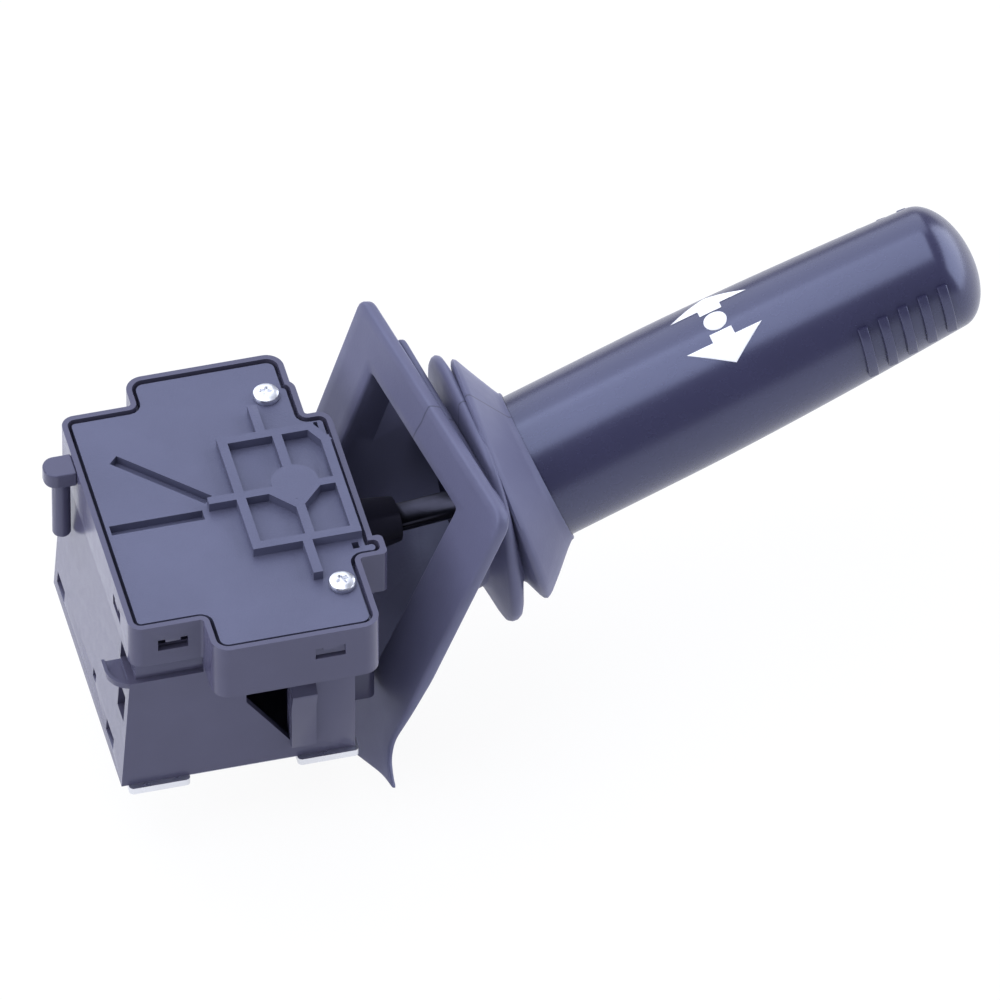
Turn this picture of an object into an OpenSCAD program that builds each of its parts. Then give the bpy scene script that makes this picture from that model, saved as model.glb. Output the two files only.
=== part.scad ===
// Forward reverse switch: a two-part moulded switch box with a ribbed cover plate,
// a round lever that swings forward and back about an upright pin, a spring
// detent, a sliding bridge contact, and a rubber boot between box and lever.
// Origin: on the underside of the base plate, straight below the pivot pin.
// +X is the lever side, +Z is out of the cover plate.

/* [Housing] */
// Height of the housing rim over the mounting face
rim_z = 46.5; // [44:0.5:52]
// Distance from the pivot to the left side of the upper housing
left_reach = 42.8; // [38:0.2:50]
// Distance from the pivot to the main front wall
front_reach = 32.9; // [31:0.1:38]
// Distance from the pivot to the main back edge of the upper housing
back_reach = 31.5; // [30:0.1:38]
// Distance from the pivot to the right edge of the pivot bay
bay_reach = 12.2; // [10:0.2:16]
// Distance from the pivot to the right wall of the lower housing
lower_right = 4.7; // [4:0.1:8]
// Left edge of the front and back ears, measured from the pivot
ear_left = 27.4; // [22:0.2:32]
// Right edge of the front ear, measured from the pivot
ear_right = 8.2; // [7:0.1:11]
// How far the front ear stands out of the front wall
front_ear_out = 10.1; // [6:0.1:14]
// How far the back ear stands out of the back edge
back_ear_out = 8; // [5:0.1:12]
// Corner radius of the upper housing
corner_r = 2.9; // [1.8:0.1:3.4]
// Corner radius of the two ears
ear_corner_r = 3.8; // [2.5:0.1:4.5]
// Wall of the upper housing, which is also the width of its rim
rim_w = 1.2; // [1:0.1:1.8]
// Depth of the skirt below the rim
skirt_h = 10.9; // [9.5:0.1:12]
// Depth of the skirt under the two ears
ear_skirt_h = 13.9; // [12.5:0.1:15]
// Wall and floor of the lower housing
lower_wall = 2.2; // [1.8:0.1:3]
// Clear height of the cable slot under the front skirt
slot_h = 4.5; // [3:0.1:6]
// How far the left wall leans out at the bottom
left_draft = 2.3; // [0:0.1:4]
// Thickness of the base plate
plate_t = 1.6; // [1.2:0.1:2.5]
// Radius of the two mounting holes in the base plate
mount_hole_r = 2.75; // [2.2:0.05:3.2]
// Distance between the two mounting holes
mount_pitch = 36; // [28:1:40]

/* [Cover plate] */
// Depth of the cover plate's face below the rim
cover_recess = 0.4; // [0.1:0.1:2]
// Thickness of the cover plate
cover_t = 3; // [2.5:0.1:4]
// Height of the raised ribs
rib_h = 2.2; // [1:0.1:3]
// Width of the raised ribs
rib_w = 2; // [1.2:0.1:2.6]
// Radius of the round boss over the pivot
boss_r = 5; // [4:0.1:6]
// Width of the two sunk grooves
groove_w = 2.7; // [1.5:0.1:3.5]
// Depth of the two sunk grooves
groove_d = 2; // [1:0.1:2.2]
// Radius of the cover screws' heads
screw_head_r = 2.85; // [2.4:0.05:3.4]

/* [Lever] */
// Angle of the lever line round the upright, from the box's long axis
lever_yaw = 6; // [0:1:10]
// Angle of the lever above the cover plane
lever_tilt = 19; // [16:1:22]
// Height at which the lever line crosses the pivot
lever_z = 17; // [16:0.5:18]
// Radius of the handle at the boot
handle_r = 15.65; // [14:0.05:17]
// Radius of the handle at its outer end
handle_end_r = 13.9; // [12:0.1:15]
// Distance from the pivot to the start of the handle
handle_start = 49; // [47:0.5:52]
// Distance from the pivot to the tip of the handle
handle_tip = 154; // [135:1:175]
// Radius of the handle's rounded outer edge
tip_round_r = 7.5; // [4:0.5:10]
// Number of finger ribs on each side
grip_count = 5; // [3:1:7]
// Spacing of the finger ribs
grip_pitch = 4.5; // [3.5:0.1:6]
// Height of the finger ribs
grip_h = 0.6; // [0.3:0.1:1]
// Radius of the steel lever shaft
shaft_r = 4.5; // [3.5:0.1:5]
// Distance from the pivot to the crank, where the level arm turns into the lever line
crank_at = 40; // [36:1:44]

/* [Boot] */
// Width of the boot's flange
flange_w = 69; // [60:1:74]
// Height of the boot's flange
flange_h = 72; // [64:1:76]
// Width of the flange's flat band
flange_band = 9.8; // [7:0.2:12]
// Thickness of the flange
flange_t = 2.8; // [2:0.1:3.5]
// Width of the groove that takes the edge of the column cover
flange_groove = 2.2; // [1.5:0.1:3]
// Angle of the flange round the upright
flange_yaw = 10; // [4:1:12]
// Angle by which the flange leans back over the box
flange_lean = 20.5; // [16:0.5:22]
// Distance along the lever line from the pivot to the flange
flange_at = 19.5; // [19:0.5:21]
// Radius of the boot's pleats
pleat_r = 27; // [24:0.5:29]
// Wall of the boot's collar
collar_t = 1.2; // [0.8:0.1:2]

/* [Mechanism] */
// Swing of the lever to each side
swing = 12; // [8:1:13]
// Radius of the pivot pin
pin_r = 2.5; // [2:0.1:3]
// Radius of the yoke's hub
hub_r = 8; // [7:0.1:9]
// Distance from the pivot to the peg that drives the contact slider
drive_r = 12; // [11:0.1:13]
// Radius of the drive peg
drive_peg_r = 1.5; // [1.2:0.1:2]
// Radius of the detent plunger
plunger_r = 2; // [1.6:0.1:2.4]
// Distance from the pivot to the plunger's nose
detent_r = 22; // [21:0.1:24]
// Travel of the plunger into a notch
detent_travel = 1; // [0.6:0.1:1.2]
// Number of contact blades in the connector
blade_count = 6; // [3:1:6]
// Spacing of the contact blades
blade_pitch = 3.6; // [3:0.1:3.8]

/* [Clearances] */
// Gap round the cover plate, which shows as a dark line
cover_gap = 0.85; // [0.3:0.05:1.1]
// Radial gap of the turning and sliding fits
run_gap = 0.05; // [0.03:0.01:0.09]
// Gap between parts that pass each other
pass_gap = 0.35; // [0.3:0.05:0.5]

/* [Hidden] */
$fn = 64;
eps = 0.01;

// Levels, from the mounting face up
skirt_z = rim_z - skirt_h;
ear_skirt_z = rim_z - ear_skirt_h;
cover_z = rim_z - cover_recess;
cover_under = cover_z - cover_t;
web_t = 1.5;
web_under = cover_under - web_t;
ledge_z = skirt_z - slot_h;
floor_z = plate_t + lower_wall;

// Plan of the housing
bay_front = 23.2;
bay_back = 20.5;
bump_reach = bay_reach + 2;
bump_w = 5.7;
inside_corner_r = 0.8;
back_ear_right = ear_right - 2;
lower_back = back_reach - 2.9;
bay_inset = 3.2;
tongue_t = 1.4;
tongue_rise = 4.6;
tongue_gap = 0.15;
tongue_in = rim_w + tongue_gap;
slot_d = lower_wall - 1;

// Cover screws stand near the right corners
screw_front_at = [2.9, -front_reach + 3.4];
screw_back_at = [0.5, back_reach - 3.7];
screw_shank_r = 1.5;
screw_shank_l = 9;
screw_head_h = 1.7;
screw_hole_gap = 0.1;
screw_boss_r = 3.4;

// Snap windows and slots of the walls
window_w = 6.4;
window_h = 3;
window_z = rim_z - 5.5;

// Mounting holes of the base plate
mount_x = -left_reach + 8.8;
mount_y = -2;

// Lever line and its turned frame
flange_lip_t = 1.6;
flange_lip_in = 4.2;
yoke_arm_r = shaft_r + 2.8;
yoke_arm_end = 22;
yoke_bottom = floor_z + 2.2;
drive_top = 30;
arm_z = lever_z + crank_at * sin(lever_tilt);
hub_top = min(arm_z + yoke_arm_r + 0.2, web_under - 1);
crank_r = shaft_r + 0.6;
shaft_in_handle = 34;
tail_reach = detent_r - 4;
tail_half = plunger_r + 2.4;
cam_t = 5;
cam_half = 11;
bore_bottom = 10.5;
plunger_nose_r = plunger_r;

// Contact deck
deck_top = web_under - 1.5;
deck_t = 2;
deck_under = deck_top - deck_t;
deck_left = left_reach - 6.5;
deck_right = 8;
deck_half = 22;
slider_t = 3;
slider_top = deck_under - 1.9;
slider_bottom = slider_top - slider_t;
slider_left = left_reach - 9.8;
slider_right = 10;
slider_half = 7;
rail_w = 1.6;
contact_t = 0.4;
pocket_floor = 1;
spring_wire_r = 0.3;
spring_step = 0.62;
spring_turns = 4;
spring_z = slider_bottom + pocket_floor + spring_wire_r + 0.02;
bridge_z = spring_z + (spring_turns - 1) * spring_step + spring_wire_r + 0.02;
strip_w = 3;
bridge_x = [-slider_left + 4, -slider_left + 12];

// Connector on the back wall
shroud_x = -22;
shroud_w = 26;
shroud_h = 16;
shroud_l = 11.5;
shroud_z = 16;
shroud_t = 1.5;
blade_w = 2.2;
blade_t = 0.8;
blade_y = lower_back - lower_wall - 3;

function yaw_dir(a) = [cos(a), sin(a)];
function lever_point(s) = [s * cos(lever_tilt) * cos(lever_yaw),
    s * cos(lever_tilt) * sin(lever_yaw), lever_z + s * sin(lever_tilt)];

// Places its children on the lever line, with local +Z along the line
module on_lever(s = 0) {
    translate(lever_point(s)) rotate([0, 90 - lever_tilt, lever_yaw]) children();
}

// Places its children on the level arm, with local +Z along the arm
module on_arm(r = 0) {
    rotate([0, 0, lever_yaw]) translate([r, 0, arm_z]) rotate([0, 90, 0]) children();
}

// Places its children on the flange, with local +Z along the flange's normal
module on_flange() {
    translate(lever_point(flange_at)) rotate([0, 90 + flange_lean, flange_yaw]) children();
}

// Rectangle between two corners with rounded corners
module round_rect(x0, y0, x1, y1, r) {
    translate([x0 + r, y0]) square([x1 - x0 - 2 * r, y1 - y0]);
    translate([x0, y0 + r]) square([x1 - x0, y1 - y0 - 2 * r]);
    for (x = [x0 + r, x1 - r], y = [y0 + r, y1 - r]) translate([x, y]) circle(r = r);
}

// Plan of the upper housing, drawn smaller by the inset
module housing_plan(inset = 0) {
    r = max(corner_r - inset, 0.4);
    round_rect(-left_reach + inset, -front_reach + inset, back_ear_right + 0.8 - inset,
        back_reach - inset, r);
    ear_plan(inset, -1);
    ear_plan(inset, 1);
    round_rect(-left_reach / 2, -bay_front + inset, bay_reach - inset, bay_back - inset, r);
    round_rect(0, -bay_front + inset, bump_reach - inset, -bay_front + bump_w - inset,
        min(r, 1.2));
    fill_r = inside_corner_r + inset;
    corner_fill([-ear_left + inset, -front_reach + inset], [-1, -1], fill_r);
    corner_fill([-ear_left + inset, back_reach - inset], [-1, 1], fill_r);
    corner_fill([ear_right - inset, -bay_front + inset], [1, -1], fill_r);
    corner_fill([back_ear_right + 0.8 - inset, bay_back - inset], [1, 1], fill_r);
}

// Rounds the inside corner at p; side tells which way the open corner looks
module corner_fill(p, side, r) {
    steps = 4;
    in = 0.02;
    translate(p) scale(side) polygon(concat([[-1, -1], [r - in, -1]],
        [for (i = [0:steps]) let (a = 90 * i / steps)
            [r * (1 - sin(a)) - in, r * (1 - cos(a)) - in]],
        [[-1, r - in]]));
}

// Plan of one ear: side -1 is the front ear, side 1 the back ear
module ear_plan(inset = 0, side = -1) {
    r = max(ear_corner_r - inset, 0.4);
    if (side < 0)
        round_rect(-ear_left + inset, -front_reach - front_ear_out + inset,
            ear_right - inset, 0, r);
    else
        round_rect(-ear_left + inset, 0, back_ear_right - inset,
            back_reach + back_ear_out - inset, r);
}

// Snap window with a tab mark in its upper edge, cut through a wall along Y
module snap_window() {
    difference() {
        translate([-window_w / 2, -3, -window_h / 2]) cube([window_w, 6, window_h]);
        translate([-window_w / 4, -3.5, window_h / 2 - 0.8]) cube([window_w / 2, 7, 1]);
    }
}

module base_plate() {
    foot_l = 13;
    color("gainsboro") difference() {
        union() {
            linear_extrude(plate_t) round_rect(-left_reach - left_draft + 0.6,
                -front_reach + 1.4, lower_right - 1.2, lower_back - 1, 2);
            // Two feet show under the front wall
            for (x = [-left_reach - left_draft + 1.5, lower_right - foot_l + 0.6])
                linear_extrude(plate_t) round_rect(x, -front_reach - 1.3, x + foot_l,
                    -front_reach + 8, 1);
        }
        for (side = [-1, 1]) translate([mount_x, mount_y + side * mount_pitch / 2, -1])
            cylinder(r = mount_hole_r, h = plate_t + 2);
        for (p = base_screw_spots) translate([p[0], p[1], -eps])
            cylinder(r1 = 2.6, r2 = 1.6, h = plate_t + 2 * eps);
    }
}

base_screw_spots = [[-left_reach + 22, -front_reach + 7], [-left_reach + 22, lower_back - 9]];
base_screw_l = 6;

// Countersunk screws that hold the base plate
module base_screws() {
    color("silver") for (p = base_screw_spots) translate([p[0], p[1], 0]) difference() {
        union() {
            cylinder(r1 = 2.5, r2 = 1.5, h = plate_t);
            cylinder(r = 1.4, h = base_screw_l);
        }
        translate([-1.8, -0.3, -eps]) cube([3.6, 0.6, 0.5]);
    }
}

// Cavity plan of the lower housing
module lower_cavity_plan() {
    w = lower_wall;
    round_rect(-left_reach + w, -front_reach + w, lower_right - w, lower_back - w, 1.2);
    round_rect(-hub_r - 4, -bay_front + bay_inset + w, bay_reach - w,
        bay_back - bay_inset - w, 1.2);
}

// Side profile of the box: the left wall leans out towards the bottom
module lower_profile() {
    polygon([[-left_reach - left_draft, plate_t], [lower_right, plate_t],
        [lower_right, skirt_z], [-left_reach, skirt_z]]);
}

module lower_housing() {
    depth = front_reach + lower_back;
    color("dimgray") difference() {
        union() {
            translate([0, lower_back, 0]) rotate([90, 0, 0]) linear_extrude(depth)
                lower_profile();
            // Pivot bay
            translate([0, 0, plate_t]) linear_extrude(skirt_z - plate_t)
                round_rect(-hub_r, -bay_front + bay_inset, bay_reach,
                    bay_back - bay_inset, 1.5);
            // Tongue that rises into the skirt
            translate([0, 0, skirt_z - 1]) linear_extrude(1 + tongue_rise) tongue_plan(0);
            corner_shelf();
        }
        // Inside, open at the top
        translate([0, 0, floor_z]) linear_extrude(rim_z) lower_cavity_plan();
        translate([0, 0, skirt_z]) linear_extrude(rim_z) tongue_plan(tongue_t);
        // Room in the tongue for the upper housing's screw bosses
        for (p = [screw_front_at, screw_back_at]) translate([p[0], p[1], skirt_z])
            cylinder(r = screw_boss_r + tongue_gap * 2, h = skirt_h);
        // Way out for the lever
        lever_window();
        // Cable slot round the front left corner
        slot_cut();
        // Triangular recess beside the latch
        latch_recess();
        // Small windows low in the left wall, and a notch between them
        for (y = [-front_reach + 11.5, lower_back - 5.7])
            translate([-left_reach - left_draft, y, plate_t + 4.1]) rotate([0, 0, 90])
                translate([-window_w / 2, -3, -window_h / 2]) cube([window_w, 6, window_h]);
        translate([-left_reach - left_draft - 1, -8, plate_t + 6]) cube([2, 2.4, 2.2]);
        // Pocket under the corner shelf
        translate([-left_reach - left_draft - 1, -front_reach + 2.4, ledge_z - 13])
            cube([left_draft + 2.2, 5.4, 7]);
        // Clearance over the mounting holes, and screw holes
        for (side = [-1, 1]) translate([mount_x, mount_y + side * mount_pitch / 2, 0])
            cylinder(r = mount_hole_r + 1, h = floor_z + 1);
        for (p = base_screw_spots) translate([p[0], p[1], 0])
            cylinder(r = 1.4 + screw_hole_gap, h = base_screw_l + 0.4);
        // Slot for the terminal blades
        translate([shroud_x - blade_span / 2 - blade_w, lower_back - lower_wall - 1,
            shroud_z - 1.2]) cube([blade_span + 2 * blade_w, lower_wall + 2, 2.4]);
        // Seat of the pivot pin
        translate([0, 0, plate_t]) cylinder(r = pin_r + run_gap, h = floor_z);
    }
    color("dimgray") {
        latch_tab();
        base_bosses();
    }
}

blade_span = (blade_count - 1) * blade_pitch;

// Bosses that take the base screws
module base_bosses() {
    for (p = base_screw_spots) translate([p[0], p[1], plate_t]) difference() {
        cylinder(r = 3.4, h = base_screw_l + 1);
        translate([0, 0, -plate_t]) cylinder(r = 1.4 + screw_hole_gap, h = base_screw_l + 0.4);
    }
}

// Plan of the tongue, a wall set in from the skirt by the rim's width
module tongue_plan(extra) {
    i = tongue_in + extra;
    round_rect(-left_reach + i, -front_reach + i, lower_right - extra, lower_back - extra,
        max(corner_r - i, 0.5));
    round_rect(-hub_r, -bay_front + bay_inset + extra, bay_reach - i,
        bay_back - bay_inset - extra, 0.6);
}

// Quarter-round shelf that stands out at the front left corner
module corner_shelf() {
    shelf_x = 5.6;
    shelf_y = 8.5;
    shelf_t = 1.4;
    rim_t = 0.7;
    translate([-left_reach + 1.2, -front_reach + shelf_y, ledge_z - shelf_t]) difference() {
        shelf_block(shelf_x, shelf_y, shelf_t);
        translate([0, 0, shelf_t - 0.6]) shelf_block(shelf_x - rim_t, shelf_y - rim_t, 1);
    }
}

// Quarter disc in the -X, -Y corner, with a flat back edge along X
module shelf_block(rx, ry, h) {
    r = rx;
    intersection() {
        union() {
            translate([0, -(ry - r), 0]) cylinder(r = r, h = h);
            translate([-r, -(ry - r), 0]) cube([r, ry - r, h]);
        }
        translate([-r, -ry, 0]) cube([r, ry, h]);
    }
}

module slot_cut() {
    // The outer wall is set back between the shelf and the skirt
    translate([-left_reach - 8, -front_reach - 1, ledge_z])
        cube([8 + left_reach - ear_left, 1 + slot_d, slot_h]);
    translate([-left_reach - 8, -front_reach - 1, ledge_z])
        cube([8 + slot_d, 1 + 8.5, slot_h]);
}

module latch_recess() {
    x1 = ear_right - 17.4;
    z0 = plate_t + 5.1;
    translate([0, -front_reach + lower_wall + 0.3, 0]) rotate([90, 0, 0])
        linear_extrude(lower_wall + 1)
        polygon([[x1 - 9.2, z0 + 13.3], [x1, z0], [x1, ledge_z - 2],
            [x1 - 9.2, ledge_z - 2]]);
}

// Snap latch: a tab with a hooked top in front of the wall
module latch_tab() {
    x0 = ear_right - 17.3;
    tab_w = 5.3;
    tab_t = 1.2;
    tab_top = plate_t + 20.4;
    translate([x0, -front_reach - tab_t, plate_t + 3.8]) cube([tab_w, tab_t, tab_top - 6]);
    translate([x0, -front_reach, tab_top]) rotate([90, 0, 90]) linear_extrude(tab_w)
        polygon([[0, -5], [-tab_t, -5], [-tab_t - 1.2, -1.6], [-tab_t - 1.2, -0.8],
            [-0.4, 1.2], [0, 1.2]]);
}

// Opening in the bay through which the lever swings
module lever_window() {
    half_w = yoke_arm_r + 4.2;
    bottom = arm_z - yoke_arm_r - 2;
    translate([hub_r - 1, -half_w + 1.2, bottom]) cube([bay_reach, 2 * half_w, skirt_z]);
    translate([lower_right - lower_wall - 1, -half_w + 1.2, bottom - 2.5])
        cube([lower_wall + 3, 2 * half_w, skirt_z]);
}

module upper_housing() {
    color("dimgray") difference() {
        union() {
            translate([0, 0, skirt_z]) linear_extrude(skirt_h) housing_plan();
            translate([0, 0, ear_skirt_z]) linear_extrude(ear_skirt_h) {
                intersection() {
                    ear_plan(0, -1);
                    translate([-ear_left - 1, -front_reach - front_ear_out - 1])
                        square([ear_left + ear_right + 2, front_ear_out + 1]);
                }
                intersection() {
                    ear_plan(0, 1);
                    translate([-ear_left - 1, back_reach - 2.6])
                        square([ear_left + ear_right + 2, back_ear_out + 3]);
                }
            }
        }
        // Recess for the cover plate
        translate([0, 0, cover_under]) linear_extrude(rim_z) housing_plan(rim_w);
        // Open underside
        difference() {
            translate([0, 0, ear_skirt_z - 1]) linear_extrude(web_under - ear_skirt_z + 1)
                housing_plan(rim_w);
            for (p = [screw_front_at, screw_back_at]) translate([p[0], p[1], 0])
                cylinder(r = screw_boss_r, h = rim_z);
        }
        // Holes for the screws and the pin
        for (p = [screw_front_at, screw_back_at]) translate([p[0], p[1], 0])
            cylinder(r = screw_shank_r + screw_hole_gap, h = rim_z);
        cylinder(r = pin_r + run_gap, h = rim_z);
        // Snap windows
        translate([-left_reach + 9, -front_reach, window_z]) snap_window();
        translate([ear_right - 11, -front_reach - front_ear_out, window_z]) snap_window();
        translate([-left_reach, -front_reach + 12.6, window_z]) rotate([0, 0, 90])
            snap_window();
        translate([-left_reach + 9, back_reach, window_z]) snap_window();
        translate([back_ear_right - 11, back_reach + back_ear_out, window_z]) snap_window();
        // The skirt is open where the lever comes out
        translate([lower_right + 1, -bay_front + bay_inset + 3, 0])
            cube([bay_reach, bay_front + bay_back - 2 * bay_inset - 6, web_under]);
    }
}

// Straight rib from a to b, as a rectangle of the rib's width
module rib(a, b, w = rib_w) {
    d = b - a;
    translate(a) rotate([0, 0, atan2(d[1], d[0])]) translate([-w / 2, -w / 2])
        square([norm(d) + w, w]);
}

// Centre lines of the raised ribs
rib_left = -12;
rib_mid = -0.5;
rib_right = bay_reach - rim_w - cover_gap - rib_w / 2 - 0.1;
rib_back = 15.1;
rib_front = -16.3;
rib_cross = -1.3;
RIBS = [
    [[rib_left, rib_front], [rib_left, rib_back]],
    [[rib_left, rib_back], [rib_right - 2.4, rib_back]],
    [[rib_right - 2.4, rib_back], [rib_right, 10.8]],
    [[rib_right, 10.8], [rib_right, rib_front]],
    [[-17.8, rib_cross], [rib_right, rib_cross]],
    [[rib_left, rib_front], [rib_right, rib_front]],
    [[rib_mid, 4.2], [rib_mid, rib_back]],
    [[rib_mid, -6], [rib_mid, rib_front]],
    [[-3.5, rib_back], [-3.5, 22.9]],
    [[-1.5, rib_front], [-1.5, -25.9]],
    [[-5.2, -1.8], [-1, -6.4]],
    [[4.5, -1.2], [0.4, -5.5]]
];

module cover_plate() {
    color("slategray") difference() {
        union() {
            translate([0, 0, cover_under]) linear_extrude(cover_t)
                housing_plan(rim_w + cover_gap);
            translate([0, 0, cover_z - 0.5]) linear_extrude(rib_h + 0.5) {
                for (s = RIBS) rib(s[0], s[1]);
                circle(r = boss_r);
            }
        }
        // Two grooves: one along the box and one at 45 degrees
        translate([0, 0, cover_z - groove_d]) linear_extrude(cover_t) {
            rib([-left_reach + 4.2, -2.9], [-21.5, -2.9], groove_w);
            rib([-left_reach + 9.1, 16.3], [-19.1, 2.1], groove_w);
        }
        // Recess round the pin, screw holes, and two small square holes
        translate([0, 0, cover_under - eps]) cylinder(r = pin_r + 0.3, h = 1.6);
        for (p = [screw_front_at, screw_back_at]) translate([p[0], p[1], 0])
            cylinder(r = screw_shank_r + screw_hole_gap, h = rim_z);
        for (y = [17.2, -19]) translate([bay_reach - 3.9, y, cover_z - groove_d])
            linear_extrude(cover_t) square([1.4, 1.8], center = true);
    }
}

// Pan head screw with a cross recess, head up, seated at its head's underside
module pan_screw() {
    difference() {
        union() {
            translate([0, 0, -screw_shank_l]) cylinder(r = screw_shank_r, h = screw_shank_l);
            cylinder(r = screw_head_r, h = screw_head_h * 0.55);
            intersection() {
                translate([0, 0, -screw_head_r * 1.25])
                    sphere(r = screw_head_r * 1.25 + screw_head_h);
                cylinder(r = screw_head_r - 0.1, h = screw_head_h);
            }
        }
        for (a = [0, 90]) rotate([0, 0, a + 20])
            translate([-screw_head_r * 0.55, -0.35, screw_head_h - 0.9])
                cube([screw_head_r * 1.1, 0.7, 1]);
    }
}

module screw_front() {
    color("silver") translate([screw_front_at[0], screw_front_at[1], cover_z])
        pan_screw();
}

module screw_back() {
    color("silver") translate([screw_back_at[0], screw_back_at[1], cover_z])
        pan_screw();
}

// Post under a block with a rounded end, at the back of the left side
module locating_peg() {
    out = 6.6;
    w = 6.1;
    block_t = 3.7;
    block_y = 15;
    block_z = rim_z - 3.9;
    post_r = 1.97;
    post_l = 15.5;
    color("dimgray") {
        translate([0, 0, block_z]) linear_extrude(block_t) difference() {
            round_rect(-left_reach - out, block_y, -left_reach + out, block_y + w,
                w / 2 - 0.3);
            translate([-left_reach, 0]) square([2 * out, block_y + 2 * w]);
        }
        translate([-left_reach - post_r - 0.83, block_y + w / 2, block_z - post_l])
            cylinder(r = post_r, h = post_l + eps);
    }
}

// Upright pin that the lever's yoke turns on
module pivot_pin() {
    color("lightsteelblue") translate([0, 0, plate_t + 0.2])
        cylinder(r = pin_r, h = cover_under + 1.2 - plate_t);
}

module thrust_washer() {
    color("goldenrod") translate([0, 0, floor_z]) difference() {
        cylinder(r = hub_r - 1.5, h = yoke_bottom - floor_z - 0.3);
        translate([0, 0, -1]) cylinder(r = pin_r + run_gap, h = 6);
    }
}

module swing_yoke() {
    color("whitesmoke") difference() {
        union() {
            translate([0, 0, yoke_bottom]) cylinder(r = hub_r, h = hub_top - yoke_bottom);
            intersection() {
                on_arm(0) cylinder(r = yoke_arm_r, h = yoke_arm_end);
                translate([0, -25, yoke_bottom]) cube([40, 50, hub_top - yoke_bottom]);
            }
            // Tail with the plunger's bore
            translate([-tail_reach, -tail_half, lever_z - tail_half])
                cube([tail_reach, 2 * tail_half, 2 * tail_half]);
            // Drive arm and peg
            translate([-drive_r, -3, drive_top - 4]) cube([drive_r, 6, 4]);
            translate([-drive_r, 0, drive_top - 4]) cylinder(r = 3, h = 4);
            translate([-drive_r, 0, drive_top - 1])
                cylinder(r = drive_peg_r, h = slider_bottom + slider_t - 0.5 - drive_top + 1);
        }
        cylinder(r = pin_r + run_gap, h = rim_z);
        // Socket of the lever shaft
        on_arm(hub_r) cylinder(r = shaft_r + run_gap, h = 40);
        // Bore of the plunger, open at the tail's end
        translate([-bore_bottom, 0, lever_z]) rotate([0, -90, 0])
            cylinder(r = plunger_r + run_gap, h = 20);
        // Hole of the cross pin
        on_arm(yoke_arm_end - 5) rotate([90, 0, 0])
            cylinder(r = 1 + run_gap / 2, h = 40, center = true);
    }
}

module lever_shaft() {
    shaft_end = handle_start + shaft_in_handle;
    color("lightsteelblue") difference() {
        union() {
            on_arm(hub_r + 0.1)
                cylinder(r = shaft_r, h = crank_at * cos(lever_tilt) - hub_r - 0.1);
            // Knuckle that joins the two rods
            translate(lever_point(crank_at)) rotate([90, 0, lever_yaw])
                cylinder(r = crank_r, h = 2 * crank_r, center = true);
            on_lever(crank_at) cylinder(r = shaft_r, h = shaft_end - crank_at);
        }
        on_arm(yoke_arm_end - 5) rotate([90, 0, 0])
            cylinder(r = 1 + run_gap / 2, h = 40, center = true);
    }
}

module shaft_pin() {
    color("silver") on_arm(yoke_arm_end - 5) rotate([90, 0, 0])
        cylinder(r = 1, h = 2 * yoke_arm_r - 0.6, center = true);
}

// Radius of the handle at a distance along the lever line
function handle_radius(s) = handle_r + (handle_end_r - handle_r) * (s - handle_start) /
    (handle_tip - handle_start);

module handle() {
    len = handle_tip - handle_start;
    dome = 2.2;
    edge_z = len - dome - tip_round_r;
    edge_r = handle_radius(handle_start + edge_z);
    arc = [for (a = [0:10:80]) [edge_r - tip_round_r + tip_round_r * cos(a),
        edge_z + tip_round_r * sin(a)]];
    color("black") {
        difference() {
            on_lever(handle_start) rotate_extrude()
                polygon(concat([[0, 0], [handle_r, 0]], arc,
                    [[edge_r - tip_round_r, len - dome], [edge_r * 0.3, len - dome * 0.2],
                    [0, len]]));
            on_lever(handle_start - 1)
                cylinder(r = shaft_r + run_gap, h = shaft_in_handle + 1.5);
        }
        grip_ribs();
    }
}

// Finger ribs on the front and back sides, each a short arc round the handle
module grip_ribs() {
    half_angle = 26;
    first = handle_tip - 13.5 - (grip_count - 1) * grip_pitch;
    for (side = [-90, 90], i = [0:grip_count - 1]) {
        s = first + i * grip_pitch;
        r = handle_radius(s);
        on_lever(s) rotate([0, 0, side - half_angle]) rotate_extrude(angle = 2 * half_angle)
            translate([r - 0.8, -0.8]) square([0.8 + grip_h, 1.6]);
    }
}

// Boot flange: a flat frame, a groove for the column cover's edge, and a second lip
module boot_flange() {
    color("darkslategray") on_flange() {
        frame_layer(FLANGE_EDGE, 0, flange_t);
        frame_layer(lip_edge(6.5), flange_t - eps, flange_groove + 2 * eps);
        frame_layer(lip_edge(flange_lip_in), flange_t + flange_groove, flange_lip_t);
    }
}

// One layer of the flange: its outer edge, start level and thickness
module frame_layer(edge, z, t) {
    translate([0, 0, z]) linear_extrude(t) difference() {
        polygon(rounded(edge));
        polygon(rounded(FLANGE_OPENING));
    }
}

// Corners of the flange's edges. Each is up, across and the corner's radius
flange_up = flange_h / 2;
flange_across = flange_w / 2;
FLANGE_EDGE = [
    [flange_up, flange_across, 3],
    [flange_up + 0.3, -flange_across - 0.5, 2.5],
    [-flange_up + 14, -flange_across + 4.7, 20],
    [-flange_up + 6.6, -flange_across + 5.7, 6],
    // Tail at the lower front corner
    [-flange_up + 3, -flange_across + 3.7, 5],
    [-flange_up + 0.8, -flange_across - 0.5, 0.5],
    [-flange_up - 1, -flange_across + 3.1, 3],
    [-flange_up - 6, -flange_across + 19, 1],
    [-flange_up, flange_across, 3]
];
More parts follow.
